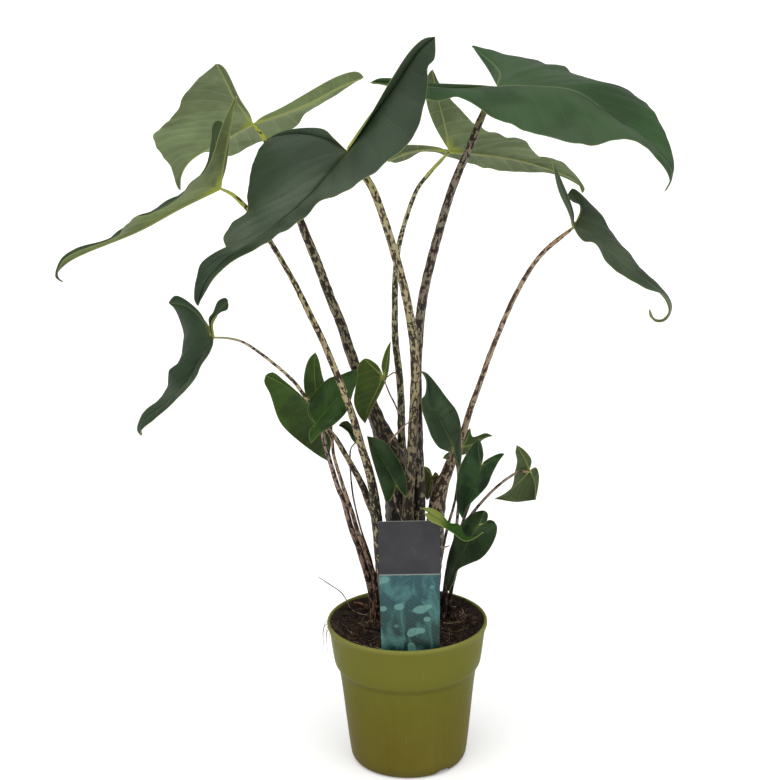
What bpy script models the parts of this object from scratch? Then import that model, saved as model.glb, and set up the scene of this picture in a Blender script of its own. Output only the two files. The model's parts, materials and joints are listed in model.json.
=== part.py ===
"""Alocasia zebrina house plant in its nursery pot.

The origin is the centre of the pot's underside, +X is to the right seen from the front,
+Y is away from the front and +Z is up. Sizes below are in millimetres and become metres
through MM.
"""

import math

import bmesh
import bpy
import numpy as np
from mathutils import Vector

MM = 0.001
GAP = 0.3
FREE_GAP = 0.5
SHARP_ANGLE = 40.0
CURVE_SAMPLES = 16
MERGE_DISTANCE = 0.01
SHORTEST = 1e-6

# Finishes: linear red, green and blue, and roughness
FINISHES = {
    "leaf": dict(colour=(0.030, 0.095, 0.045), roughness=0.42),
    "stem": dict(colour=(0.30, 0.22, 0.10), roughness=0.5),
    "pot": dict(colour=(0.27, 0.26, 0.085), roughness=0.45),
    "soil": dict(colour=(0.045, 0.028, 0.018), roughness=0.9),
    "label": dict(colour=(0.14, 0.14, 0.15), roughness=0.4),
    "dry_sheath": dict(colour=(0.32, 0.16, 0.09), roughness=0.5),
    "old_root": dict(colour=(0.25, 0.18, 0.13), roughness=0.5),
}

# Pot: a thin plastic nursery pot with a collar and a rounded lip, as (radius, height)
POT_FLOOR = 1.8
POT_SIDES = 48
POT_OUTSIDE = [
    (56.0, 0.0), (60.0, 2.6), (62.8, 10.0), (72.2, 106.5), (76.2, 109.5), (78.3, 115.5),
    (82.5, 150.0), (84.6, 152.8), (85.0, 155.5), (84.3, 157.7),
]
POT_INSIDE = [
    (82.6, 158.0), (81.3, 156.8), (81.2, 150.0), (77.0, 116.0), (70.9, 107.5), (61.5, 10.0),
    (58.9, 4.0), (55.6, POT_FLOOR),
]
DRAIN_ANGLES = (-53.0, 127.0)
DRAIN_WIDTH = 22.0
DRAIN_HEIGHT = 7.0
DRAIN_REACH = (52.0, 72.0)
DRAIN_SIDES = 20

# Soil: fills the pot to a little under the lip and falls off a little towards the wall
SOIL_TOP = 144.0
SOIL_CROWN = (58.0, 145.4)
SOIL_EDGE_HEIGHT = 143.2
SOIL_WALL_GAP = 0.39
SOCKET_DEPTH = 8.0
SOCKET_SIDES = 10
ROOT_SOCKET_SIDES = 8
CUTTER_ABOVE_SOIL = 10.0

# Label: a printed card on a spike, standing just behind the front of the lip
LABEL_PLACE = (2.3, -72.0)
LABEL_TOP = 295.0
LABEL_SHOULDER = 151.0
LABEL_TOP_WIDTH = 63.3
LABEL_LOW_WIDTH = 59.5
LABEL_CORNER = 3.0
CORNER_STEPS = 3
LABEL_THICKNESS = 0.8
SPIKE_WIDTH = 24.0
SPIKE_TIP_WIDTH = 12.0
SPIKE_TOP = 145.0
SPIKE_BOTTOM = 118.0

# Loose pieces on the soil: a dry leaf sheath and an old root that reaches over the lip.
# Radii here and below are (fraction of the length, millimetres).
SHEATH_PATH = [(-57, 53, 153), (-51, 55, 147.6), (-44, 55, 145.6), (-38, 52, 145.9)]
SHEATH_RADII = [(0, 0.7), (0.4, 1.3), (1, 0.6)]
ROOT_PATH = [(-95, 47, 188), (-80, 49, 176), (-71, 49, 169), (-65, 46, 161), (-60, 43, 147)]
ROOT_ANCHOR = (-60.0, 43.0)
ROOT_RADIUS = 0.6
ROOT_RADII = [(0, 0.35), (0.3, ROOT_RADIUS), (1, ROOT_RADIUS)]

# Blades: the sheet is 1 mm thick and bulges a little between its ribs
BLADE_THICKNESS = 1.0
BLADE_CAMBER = 0.08
BIG_BLADE = 110.0
BIG_GRID = dict(spine_rows=9, lobe_rows=6, columns=2)
SMALL_GRID = dict(spine_rows=6, lobe_rows=3, columns=2)

# Stems: each ends just under its blade's junction and stands straight in its socket
STEM_GAP = 0.45
TOP_ROWS = dict(spine_rows=9, lobe_rows=6)
STEM_BEND = 3.0
TUBE_STEP = 28.0
TUBE_CROWDING = 1.4
FEWEST_TUBE_POINTS = 7
THICK_STEM = 3.5
THICK_SIDES = 8
THIN_SIDES = 6

# Each blade's tip and junction, and the lines between them: the midrib from the tip to the
# junction, and on each side the lobe's rib from the junction to its tip, the edge from the
# blade's tip to the lobe's tip, and the inner edge from the lobe's tip to the junction.
BLADES = {
    "front": dict(
        tip=(-192, -165, 545), junction=(-52, -70, 670),
        midrib=[
            (-184, -160, 566), (-164, -145, 585), (-133, -122, 601), (-95, -95, 626),
            (-69, -77, 652),
        ],
        left_tip=(33, -52, 775),
        left_rib=[(-34, -62, 695), (-7, -55, 729), (18, -52, 763)],
        left_edge=[
            (-170, -165, 577), (-123, -155, 604), (-93, -142, 620), (-77, -130, 635),
            (-54, -118, 640), (-8, -92, 669), (9, -80, 682), (21, -68, 708), (25, -60, 732),
            (26, -56, 748), (32, -54, 754),
        ],
        left_sinus=[(23, -54, 774), (10, -58, 764), (-10, -64, 736), (-30, -72, 704)],
        right_tip=(-133, 30, 667),
        right_rib=[(-74, -36, 677), (-101, 0, 676)],
        right_edge=[
            (-195, -160, 551), (-188, -138, 580), (-167, -118, 587), (-170, -108, 596),
            (-164, -98, 606), (-149, -78, 616), (-149, -62, 628), (-147, -35, 645), (-142, 0, 659),
        ],
        right_sinus=[(-116, 20, 676), (-77, -20, 684), (-65, -46, 679)],
    ),
    "left": dict(
        tip=(-332, -62, 544), junction=(-177, -48, 633),
        midrib=[(-339, -62, 551), (-327, -62, 565), (-254, -60, 596), (-215, -55, 616)],
        left_tip=(-155, -84, 727),
        left_rib=[(-172, -62, 658), (-160, -80, 708)],
        left_edge=[
            (-335, -70, 555), (-325, -74, 572), (-287, -80, 588), (-273, -88, 595),
            (-256, -100, 616), (-244, -98, 617), (-210, -102, 634), (-199, -106, 651),
            (-184, -106, 661), (-166, -92, 706),
        ],
        left_sinus=[(-154, -82, 719), (-162, -74, 701), (-165, -66, 675), (-170, -55, 651)],
        right_tip=(-186, 14, 685),
        right_rib=[(-183, -8, 668)],
        right_edge=[
            (-339, -54, 553), (-331, -48, 568), (-316, -42, 575), (-293, -36, 578),
            (-277, -24, 587), (-254, -14, 598), (-235, -8, 610), (-215, 0, 620), (-197, 8, 638),
            (-189, 14, 659),
        ],
        right_sinus=[(-181, 8, 689), (-174, -6, 688), (-176, -20, 665)],
    ),
    "back_left": dict(
        tip=(-236, 148, 593), junction=(-150, 80, 675),
        midrib=[(-234, 144, 609), (-222, 132, 628), (-169, 92, 663)],
        left_tip=(-179, 5, 746),
        left_rib=[(-166, 46, 706), (-171, 26, 723)],
        left_edge=[
            (-238, 140, 601), (-241, 126, 621), (-253, 96, 649), (-252, 78, 664), (-241, 66, 676),
            (-225, 56, 691), (-219, 48, 705), (-208, 38, 719),
        ],
        left_sinus=[(-173, 8, 742), (-160, 48, 703), (-153, 66, 687)],
        right_tip=(-36, 46, 725),
        right_rib=[(-120, 72, 685), (-91, 62, 697), (-62, 54, 713)],
        right_edge=[
            (-235, 152, 605), (-226, 152, 621), (-210, 150, 632), (-178, 142, 631),
            (-153, 134, 643), (-130, 124, 653), (-108, 108, 665), (-99, 96, 679), (-62, 64, 706),
        ],
        right_sinus=[(-42, 44, 730), (-60, 50, 726), (-120, 68, 692), (-140, 74, 682)],
    ),
    "right": dict(
        tip=(258, -30, 618), junction=(96, 30, 716),
        midrib=[(265, -27, 633), (261, -22, 646), (206, 2, 690), (172, 16, 712), (134, 26, 716)],
        left_tip=(76, 140, 743),
        left_rib=[(101, 66, 725)],
        left_edge=[
            (267, -20, 642), (249, 44, 693), (239, 56, 698), (228, 70, 705), (205, 88, 710),
            (180, 100, 717), (171, 108, 722), (151, 116, 726), (134, 122, 731), (110, 130, 734),
            (95, 136, 738),
        ],
        left_sinus=[(82, 124, 735), (90, 92, 725)],
        right_tip=(-29, -22, 729),
        right_rib=[(61, 18, 715), (0, -10, 725)],
        right_edge=[
            (261, -33, 631), (224, -54, 673), (180, -62, 672), (130, -58, 682), (98, -44, 692),
            (84, -34, 699), (53, -20, 713), (33, -20, 710), (-12, -24, 725),
        ],
        right_sinus=[(-20, -18, 732), (29, 8, 723), (64, 22, 719)],
    ),
    "back_right": dict(
        tip=(196, 150, 583), junction=(50, 85, 642),
        midrib=[(189, 146, 597), (142, 130, 619), (104, 112, 631)],
        left_tip=(-13, 128, 625),
        left_rib=[(31, 98, 642), (8, 115, 636)],
        left_edge=[
            (193, 155, 589), (163, 160, 602), (112, 150, 607), (61, 124, 625), (42, 122, 633),
            (23, 126, 634), (5, 132, 624), (-5, 132, 622),
        ],
        left_sinus=[(-12, 122, 632), (0, 112, 643), (39, 90, 645)],
        right_tip=(32, 15, 736),
        right_rib=[(46, 66, 669), (39, 44, 699)],
        right_edge=[
            (196, 142, 590), (168, 118, 624), (143, 102, 632), (128, 88, 650), (102, 76, 659),
            (81, 64, 670), (70, 52, 679), (39, 22, 720),
        ],
        right_sinus=[(27, 18, 728), (26, 36, 702), (34, 58, 674)],
    ),
    "low_right": dict(
        tip=(239, -66, 509), junction=(170, -20, 583),
        midrib=[
            (244, -66, 499), (253, -64, 497), (261, -60, 504), (259, -55, 515), (247, -48, 528),
            (224, -38, 544), (181, -22, 577),
        ],
        left_tip=(173, 36, 611),
        left_rib=[(177, 2, 592), (179, 20, 601)],
        left_edge=[
            (242, -62, 500), (253, -58, 496), (263, -54, 504), (263, -46, 513), (236, -18, 541),
            (210, 6, 572), (199, 18, 588), (179, 34, 607),
        ],
        left_sinus=[(168, 34, 603), (173, 28, 598), (179, 16, 597), (177, -4, 590)],
        right_tip=(147, -34, 652),
        right_rib=[(165, -24, 603), (156, -30, 624)],
        right_edge=[
            (245, -70, 498), (255, -70, 499), (260, -68, 510), (252, -66, 524), (235, -64, 530),
            (201, -54, 552), (187, -46, 572), (177, -42, 573), (169, -38, 583), (162, -38, 601),
            (152, -40, 624), (148, -38, 641),
        ],
        right_sinus=[(169, -22, 598)],
    ),
    "low_left": dict(
        tip=(-260, -92, 396), junction=(-188, -70, 489),
        midrib=[(-260, -90, 408), (-233, -84, 428), (-214, -80, 447)],
        left_tip=(-172, -52, 521),
        left_rib=[(-189, -67, 501), (-183, -60, 511)],
        left_edge=[
            (-258, -98, 404), (-234, -104, 425), (-202, -100, 458), (-198, -97, 467),
            (-191, -94, 476), (-186, -86, 486), (-187, -74, 494), (-188, -68, 505),
            (-180, -60, 511), (-173, -55, 513),
        ],
        left_sinus=[(-175, -52, 524), (-182, -56, 522), (-187, -62, 512), (-191, -66, 507)],
        right_tip=(-234, -30, 514),
        right_rib=[(-198, -60, 504), (-215, -44, 514)],
        right_edge=[
            (-264, -86, 400), (-262, -82, 409), (-257, -76, 417), (-244, -70, 425),
            (-235, -64, 438), (-233, -58, 451), (-225, -54, 458), (-218, -46, 484),
            (-228, -34, 510),
        ],
        right_sinus=[(-226, -32, 522), (-201, -56, 512), (-193, -66, 500)],
    ),
    "small_left": dict(
        tip=(-81, 34, 324), junction=(-88, 8, 388),
        midrib=[(-83, 26, 344), (-87, 17, 366)],
        left_tip=(-141, -2, 430),
        left_rib=[(-123, 0, 419)],
        left_edge=[
            (-91, 32, 331), (-121, 21, 361), (-130, 15, 376), (-138, 5, 408), (-143, 0, 422),
        ],
        left_sinus=[(-134, -3, 433), (-123, -2, 424), (-109, 1, 410), (-97, 5, 396)],
        right_tip=(-89, -22, 459),
        right_rib=[(-90, -1, 413), (-91, -12, 437)],
        right_edge=[
            (-78, 27, 338), (-75, 19, 361), (-75, 9, 386), (-78, 0, 408), (-83, -10, 430),
            (-86, -19, 450),
        ],
        right_sinus=[(-96, -20, 451), (-102, -10, 428), (-101, -3, 409), (-95, 4, 395)],
    ),
    "small_front": dict(
        tip=(-47, -14, 438), junction=(-90, -44, 390),
        midrib=[(-55, -20, 427)],
        left_tip=(-96, -32, 410),
        left_rib=[(-95, -38, 400)],
        left_edge=[(-55, -14, 436), (-65, -14, 432), (-77, -16, 429), (-94, -28, 414)],
        left_sinus=[(-98, -35, 404), (-96, -40, 396)],
        right_tip=(-95, -50, 371),
        right_rib=[(-93, -48, 380)],
        right_edge=[
            (-47, -16, 429), (-52, -22, 416), (-56, -28, 404), (-60, -36, 398), (-72, -46, 389),
            (-86, -50, 381),
        ],
        right_sinus=[(-97, -49, 379), (-95, -46, 386)],
    ),
    "small_middle": dict(
        tip=(-41, 26, 367), junction=(-21, 2, 426),
        midrib=[(-37, 18, 387), (-29, 10, 406)],
        left_tip=(-40, -6, 447),
        left_rib=[(-30, -1, 435)],
        left_edge=[(-48, 20, 379), (-52, 13, 395), (-50, 7, 412), (-46, -3, 440)],
        left_sinus=[(-35, -7, 446), (-27, -4, 439)],
        right_tip=(-13, -22, 469),
        right_rib=[(-18, -5, 438), (-16, -14, 453)],
        right_edge=[(-35, 18, 382), (-21, 5, 414), (-16, -3, 431)],
        right_sinus=[(-17, -20, 462), (-21, -14, 450), (-23, -5, 437)],
    ),
    "small_leaning": dict(
        tip=(-39, -6, 364), junction=(-10, -22, 317),
        midrib=[(-31, -10, 351), (-20, -16, 335)],
        left_tip=(-20, -32, 300),
        left_rib=[(-15, -27, 308)],
        left_edge=[(-35, -17, 347), (-22, -33, 306)],
        left_sinus=[(-15, -30, 304), (-11, -26, 312)],
        right_tip=(1, -22, 303),
        right_rib=[(-4, -22, 309)],
        right_edge=[(-30, -4, 361), (-19, -4, 355), (-3, -12, 331), (1, -17, 315)],
        right_sinus=[(-4, -24, 307), (-8, -24, 314)],
    ),
    "tiny_left": dict(
        tip=(-68, 6, 372), junction=(-49, -6, 359),
        midrib=[(-61, 3, 371), (-55, -2, 365)],
        left_tip=(-42, -8, 351),
        left_rib=[(-45, -7, 355)],
        left_edge=[(-63, -1, 371), (-58, -6, 368), (-54, -9, 361), (-48, -10, 355)],
        left_sinus=[(-43, -7, 354)],
        right_tip=(-45, -6, 364),
        right_rib=[(-46, -6, 361)],
        right_edge=[(-65, 7, 375), (-59, 5, 377), (-50, -3, 369)],
        right_sinus=[(-45, -6, 361)],
    ),
    "small_upright": dict(
        tip=(17, -10, 434), junction=(49, -26, 358),
        midrib=[(23, -2, 424), (26, -8, 407), (33, -14, 389)],
        left_tip=(41, -34, 356),
        left_rib=[(45, -30, 357)],
        left_edge=[
            (22, -10, 424), (21, -16, 411), (17, -22, 407), (18, -25, 395), (22, -28, 383),
            (27, -33, 370), (34, -35, 360),
        ],
        left_sinus=[(45, -31, 354)],
        right_tip=(55, -28, 335),
        right_rib=[(52, -27, 347)],
        right_edge=[
            (24, 0, 428), (33, 0, 417), (43, -2, 403), (53, -6, 390), (57, -11, 377),
            (57, -16, 359), (57, -22, 344),
        ],
        right_sinus=[(52, -29, 342), (49, -28, 350)],
    ),
    "small_forked": dict(
        tip=(58, -35, 282), junction=(76, -57, 347),
        midrib=[(60, -38, 297), (66, -45, 315), (72, -51, 332)],
        left_tip=(100, -49, 357),
        left_rib=[(87, -54, 352)],
        left_edge=[(62, -43, 297), (82, -57, 326), (87, -58, 339), (94, -54, 351)],
        left_sinus=[(95, -50, 358), (78, -56, 351)],
        right_tip=(73, -61, 378),
        right_rib=[(73, -59, 363)],
        right_edge=[(53, -32, 293), (53, -38, 332), (65, -54, 366)],
        right_sinus=[(76, -61, 372), (78, -58, 359)],
    ),
    "small_outer": dict(
        tip=(94, 28, 281), junction=(130, 12, 318),
        midrib=[(106, 26, 288)],
        left_tip=(115, -6, 352),
        left_rib=[(124, 4, 333)],
        left_edge=[(105, 22, 287), (112, 16, 299), (114, 10, 315), (116, 4, 331), (114, -1, 342)],
        left_sinus=[(123, -3, 345), (131, 4, 332)],
        right_tip=(138, 34, 277),
        right_rib=[(136, 22, 300)],
        right_edge=[(118, 39, 273), (129, 39, 274)],
        right_sinus=[(140, 28, 292), (140, 18, 311), (136, 12, 321)],
    ),
    "tiny_hidden": dict(
        tip=(93, 50, 344), junction=(60, 38, 336),
        midrib=[(84, 48, 343), (72, 43, 338)],
        left_tip=(40, 34, 325),
        left_rib=[(50, 36, 331)],
        left_edge=[(83, 52, 339), (75, 52, 330), (65, 50, 324), (54, 46, 323), (47, 40, 321)],
        left_sinus=[(43, 32, 330), (53, 34, 335)],
        right_tip=(69, 34, 358),
        right_rib=[(65, 36, 346)],
        right_edge=[(86, 46, 348), (72, 38, 347)],
        right_sinus=[(66, 34, 355), (61, 36, 344)],
    ),
    "small_low": dict(
        tip=(43, -42, 205), junction=(73, -54, 282),
        midrib=[(47, -46, 225), (64, -54, 267)],
        left_tip=(89, -46, 284),
        left_rib=[(81, -50, 283)],
        left_edge=[
            (48, -50, 220), (52, -56, 235), (64, -62, 244), (75, -64, 250), (84, -63, 260),
            (91, -57, 273), (92, -51, 280),
        ],
        left_sinus=[(84, -48, 286), (78, -52, 283)],
        right_tip=(80, -42, 294),
        right_rib=[(77, -48, 288)],
        right_edge=[
            (40, -34, 213), (41, -28, 228), (46, -26, 249), (55, -26, 270), (66, -30, 285),
            (74, -36, 291),
        ],
        right_sinus=[(83, -43, 291), (82, -48, 285), (77, -52, 282)],
    ),
    "young": dict(
        tip=(77, -76, 284), junction=(24, -78, 304),
        midrib=[(63, -78, 277), (49, -80, 287), (37, -80, 296)],
        left_tip=(15, -76, 310),
        left_rib=[(20, -77, 308)],
        left_edge=[
            (68, -74, 278), (60, -72, 278), (52, -72, 291), (44, -72, 292), (34, -72, 303),
            (24, -73, 309),
        ],
        left_sinus=[(18, -77, 308)],
        right_tip=(17, -82, 307),
        right_rib=[(21, -80, 306)],
        right_edge=[(69, -80, 279), (58, -84, 277), (45, -88, 288), (33, -89, 296), (23, -86, 300)],
        right_sinus=[(21, -81, 304)],
    ),
    "tiny_back": dict(
        tip=(23, 40, 276), junction=(29, 28, 308),
        midrib=[(26, 35, 292)],
        left_tip=(20, 24, 320),
        left_rib=[(24, 25, 315)],
        left_edge=[(20, 38, 284), (18, 29, 310)],
        left_sinus=[(25, 23, 318)],
        right_tip=(36, 24, 309),
        right_rib=[(34, 25, 310)],
        right_edge=[(28, 37, 282), (36, 27, 303)],
        right_sinus=[(32, 24, 313)],
    ),
}

# Each stem's path runs down from its blade to its root, its place in the soil.
STEMS = {
    "front": dict(
        path=[
            (-42, -69, 654), (-35, -67, 644), (-28, -64, 631), (-1, -40, 536), (9, -25, 476),
            (11, -20, 443), (10, -15, 405), (7, -12, 350), (3, -8, 294),
        ],
        root=(-3, 2),
        radii=[(0, 1.5), (0.05, 3.6), (0.1, 3.9), (0.3, 4.4), (0.5, 4.8), (0.8, 5.6), (1, 6)],
    ),
    "left": dict(
        path=[
            (-165, -47, 626), (-153, -46, 614), (-138, -44, 592), (-109, -42, 539),
            (-95, -42, 508), (-81, -43, 477), (-71, -44, 451), (-60, -43, 420), (-51, -39, 390),
            (-44, -31, 359), (-37, -22, 330), (-32, -11, 296),
        ],
        root=(-21, 9),
        radii=[
            (0, 1.2), (0.04, 2.4), (0.2, 2.7), (0.3, 3.3), (0.5, 3.7), (0.7, 4.4), (0.85, 5.2),
            (1, 5.5),
        ],
    ),
    "back_left": dict(
        path=[
            (-138, 77, 657), (-120, 73, 616), (-99, 67, 560), (-87, 63, 529), (-76, 60, 497),
            (-64, 56, 466), (-56, 53, 439), (-37, 47, 383), (-17, 38, 317), (-10, 33, 280),
        ],
        root=(-9, 27),
        radii=[
            (0, 1.5), (0.04, 3), (0.25, 4.5), (0.5, 5.2), (0.6, 6), (0.68, 9), (0.8, 10), (0.9, 9),
            (1, 8),
        ],
    ),
    "right": dict(
        path=[
            (80, 22, 685), (72, 17, 666), (50, 9, 616), (24, 2, 526), (18, 0, 495), (15, -1, 464),
            (13, -2, 438), (13, -1, 346), (14, 2, 290),
        ],
        root=(9, 12),
        radii=[(0, 1.8), (0.03, 3.4), (0.15, 4), (0.3, 4.6), (0.5, 5.2), (0.8, 6), (1, 6.5)],
    ),
    "back_right": dict(
        path=[
            (39, 81, 630), (27, 75, 618), (16, 70, 604), (-3, 55, 550), (-7, 52, 519),
            (-8, 46, 451), (-5, 43, 420), (-3, 46, 386), (-3, 48, 341), (-1, 48, 285),
        ],
        root=(8, 41),
        radii=[(0, 1.2), (0.03, 2), (0.15, 2.4), (0.25, 3), (0.4, 3.6), (0.7, 4.3), (1, 5.2)],
    ),
    "low_right": dict(
        path=[
            (142, -14, 558), (130, -10, 542), (113, -4, 510), (90, 5, 451), (79, 10, 417),
            (68, 14, 384), (61, 17, 359), (51, 18, 334), (44, 18, 315), (36, 16, 294),
            (32, 14, 269),
        ],
        root=(25, 13),
        radii=[
            (0, 1.2), (0.03, 2.2), (0.2, 2.6), (0.4, 2.9), (0.55, 3.7), (0.62, 5.5), (0.7, 8),
            (0.78, 8.3), (0.9, 7.5), (1, 6.5),
        ],
    ),
    "low_left": dict(
        path=[
            (-173, -67, 487), (-160, -62, 482), (-146, -56, 471), (-113, -31, 433),
            (-102, -18, 413), (-90, -14, 394), (-80, -11, 376), (-70, -8, 361), (-61, -5, 343),
            (-45, 5, 307), (-39, 10, 288), (-33, 14, 270),
        ],
        root=(-24, 27),
        radii=[(0, 1), (0.1, 1.4), (0.3, 1.9), (0.5, 2.8), (0.7, 4), (0.85, 4.8), (1, 4.5)],
    ),
    "small_left": dict(
        path=[
            (-85, 4, 368), (-82, 5, 350), (-76, 6, 326), (-71, 8, 306), (-65, 9, 289),
            (-57, 13, 254), (-51, 16, 236), (-46, 18, 218), (-37, 23, 179),
        ],
        root=(-35, 24),
        radii=[(0, 1.2), (0.1, 2.2), (0.5, 2.7), (1, 2.8)],
    ),
    "small_front": dict(
        path=[
            (-81, -36, 382), (-75, -31, 372), (-73, -25, 350), (-65, -13, 314), (-55, -2, 276),
            (-51, 2, 258), (-45, 5, 240), (-34, 11, 200), (-32, 13, 183),
        ],
        root=(-31, 15),
        radii=[(0, 0.8), (0.1, 1.6), (0.5, 2.1), (1, 2.4)],
    ),
    "small_middle": dict(
        path=[(-16, -5, 411), (-9, 4, 393), (-3, 13, 372), (0, 18, 350), (3, 22, 310)],
        root=(2, 22),
        radii=[(0, 0.7), (0.1, 0.9), (1, 1.2)],
    ),
    "small_leaning": dict(
        path=[(-12, -22, 305), (-10, -24, 294), (-4, -25, 279), (1, -23, 250)],
        root=(-2, -9),
        radii=[(0, 0.7), (0.1, 1), (1, 1.3)],
    ),
    "tiny_left": dict(
        path=[
            (-55, -2, 351), (-57, 6, 339), (-57, 9, 322), (-56, 8, 306), (-54, 8, 289),
            (-47, 10, 255), (-37, 14, 219), (-33, 21, 182),
        ],
        root=(-27, 19),
        radii=[(0, 0.6), (0.1, 0.9), (1, 1.2)],
    ),
    "small_upright": dict(
        path=[(53, -20, 337), (55, -11, 305), (54, -2, 275), (51, 5, 244), (41, 18, 182)],
        root=(33, 24),
        radii=[(0, 1), (0.1, 1.5), (1, 2)],
    ),
    "small_forked": dict(
        path=[(66, -30, 300), (56, -12, 261), (45, 4, 205), (42, 11, 183)],
        root=(38, 16),
        radii=[(0, 1), (0.1, 1.4), (1, 2)],
    ),
    "small_outer": dict(
        path=[
            (118, 4, 319), (111, 0, 317), (97, -2, 307), (81, 2, 289), (67, 11, 267),
            (57, 14, 248), (50, 17, 229), (44, 22, 206),
        ],
        root=(38, 35),
        radii=[(0, 1), (0.1, 1.4), (1, 2.2)],
    ),
    "tiny_hidden": dict(
        path=[(59, 41, 323), (53, 40, 276), (44, 36, 244), (36, 33, 205)],
        root=(24, 31),
        radii=[(0, 0.8), (0.1, 1.3), (1, 2)],
    ),
    "small_low": dict(
        path=[(62, -37, 256), (55, -21, 234), (51, -4, 209), (47, 12, 182)],
        root=(45, 27),
        radii=[(0, 1), (0.1, 1.5), (1, 2.2)],
    ),
    "young": dict(
        path=[(25, -69, 297), (25, -60, 287), (25, -47, 265), (24, -28, 230)],
        root=(24, -4),
        radii=[(0, 0.8), (0.1, 1.3), (1, 1.8)],
    ),
    "tiny_back": dict(
        path=[(28, 28, 290), (22, 27, 236)],
        root=(15, 25),
        radii=[(0, 0.8), (0.1, 1.3), (1, 2)],
    ),
}


def clear_scene():
    for obj in list(bpy.data.objects):
        bpy.data.objects.remove(obj, do_unlink=True)


def finish(obj, kind):
    """Link the object and give it a material of its own."""
    look = FINISHES[kind]
    material = bpy.data.materials.new(obj.name + "_finish")
    material.use_nodes = True
    shader = material.node_tree.nodes["Principled BSDF"]
    shader.inputs["Base Color"].default_value = (*look["colour"], 1.0)
    shader.inputs["Roughness"].default_value = look["roughness"]
    shader.inputs["Metallic"].default_value = 0.0
    obj.data.materials.append(material)
    bpy.context.scene.collection.objects.link(obj)
    return obj


def mesh_object(name, bm):
    bmesh.ops.recalc_face_normals(bm, faces=bm.faces)
    mesh = bpy.data.meshes.new(name)
    bm.to_mesh(mesh)
    bm.free()
    return bpy.data.objects.new(name, mesh)


def curve_points(knots):
    """Points of a centripetal Catmull-Rom curve through the knots."""
    before = 2 * knots[0] - knots[1]
    after = 2 * knots[-1] - knots[-2]
    padded = np.vstack([before, knots, after])
    spans = np.sqrt(np.linalg.norm(np.diff(padded, axis=0), axis=1))
    points = []
    for i in range(1, len(padded) - 2):
        p0, p1, p2, p3 = padded[i - 1:i + 3]
        t1 = spans[i - 1]
        t2 = t1 + spans[i]
        t3 = t2 + spans[i + 1]
        for t in np.linspace(t1, t2, CURVE_SAMPLES, endpoint=False):
            a1 = ((t1 - t) * p0 + t * p1) / t1
            a2 = ((t2 - t) * p1 + (t - t1) * p2) / (t2 - t1)
            a3 = ((t3 - t) * p2 + (t - t2) * p3) / (t3 - t2)
            b1 = ((t2 - t) * a1 + t * a2) / t2
            b2 = ((t3 - t) * a2 + (t - t1) * a3) / (t3 - t1)
            points.append(((t2 - t) * b1 + (t - t1) * b2) / (t2 - t1))
    return np.array([*points, knots[-1]])


def line_lengths(points):
    steps = np.linalg.norm(np.diff(points, axis=0), axis=1)
    return np.concatenate([[0.0], np.cumsum(steps)])


def smooth_line(points, fractions):
    """Places at the given fractions of the length of a smooth curve through the points."""
    knots = np.array(points, dtype=float)
    dense = curve_points(knots) if len(knots) > 2 else knots
    lengths = line_lengths(dense)
    wanted = np.asarray(fractions) * lengths[-1]
    return np.stack([np.interp(wanted, lengths, dense[:, axis]) for axis in range(3)], axis=1)


def upper_normals(ribs, edges, turn):
    """Unit normals of the blade's upper side along a rib line that runs from the tip."""
    forward = -np.gradient(ribs, axis=0)
    normals = np.cross(forward, edges - ribs) * turn
    return normals / np.maximum(np.linalg.norm(normals, axis=1, keepdims=True), SHORTEST)


def add_strip(bm, ribs, edges, turn, columns):
    """Add a cambered strip of quads between a rib line and an edge line."""
    normals = upper_normals(ribs, edges, turn)
    widths = np.linalg.norm(edges - ribs, axis=1, keepdims=True)
    lines = []
    for column in range(columns + 1):
        across = column / columns
        bulge = 4.0 * across * (1.0 - across) * BLADE_CAMBER * widths
        points = ribs + (edges - ribs) * across + normals * bulge
        lines.append([bm.verts.new(point * MM) for point in points])
    for near, far in zip(lines, lines[1:]):
        for row in range(len(ribs) - 1):
            quad = [near[row], near[row + 1], far[row + 1], far[row]]
            if turn < 0:
                quad.reverse()
            bm.faces.new(quad)


def blade_lines(shape, side, spine_rows, lobe_rows):
    """Rib, edge, lobe rib and sinus lines of one side of a blade, with matching rows."""
    spine = smooth_line(
        [shape["tip"], *shape["midrib"], shape["junction"]], np.linspace(0, 1, spine_rows + 1)
    )
    lobe_end = shape[side + "_tip"]
    along_lobe = np.linspace(0, 1, lobe_rows + 1)
    lobe = smooth_line([shape["junction"], *shape[side + "_rib"], lobe_end], along_lobe)
    ribs = np.vstack([spine, lobe[1:]])
    lengths = line_lengths(ribs)
    edges = smooth_line([shape["tip"], *shape[side + "_edge"], lobe_end], lengths / lengths[-1])
    sinus = smooth_line([lobe_end, *shape[side + "_sinus"], shape["junction"]], 1 - along_lobe)
    return ribs, edges, lobe, sinus


def blade_size(shape):
    return np.linalg.norm(np.subtract(shape["tip"], shape["junction"]))


def make_blade(name, shape):
    grid = BIG_GRID if blade_size(shape) > BIG_BLADE else SMALL_GRID
    rows = grid["spine_rows"], grid["lobe_rows"]
    bm = bmesh.new()
    for side, turn in (("left", 1), ("right", -1)):
        ribs, edges, lobe, sinus = blade_lines(shape, side, *rows)
        add_strip(bm, ribs, edges, turn, grid["columns"])
        add_strip(bm, lobe, sinus, -turn, 1)
    bmesh.ops.remove_doubles(bm, verts=bm.verts, dist=MERGE_DISTANCE * MM)
    obj = mesh_object("leaf_" + name, bm)
    obj.data.shade_smooth()
    solid = obj.modifiers.new("thickness", "SOLIDIFY")
    solid.thickness = BLADE_THICKNESS * MM
    solid.offset = 0.0
    return finish(obj, "leaf")


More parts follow.
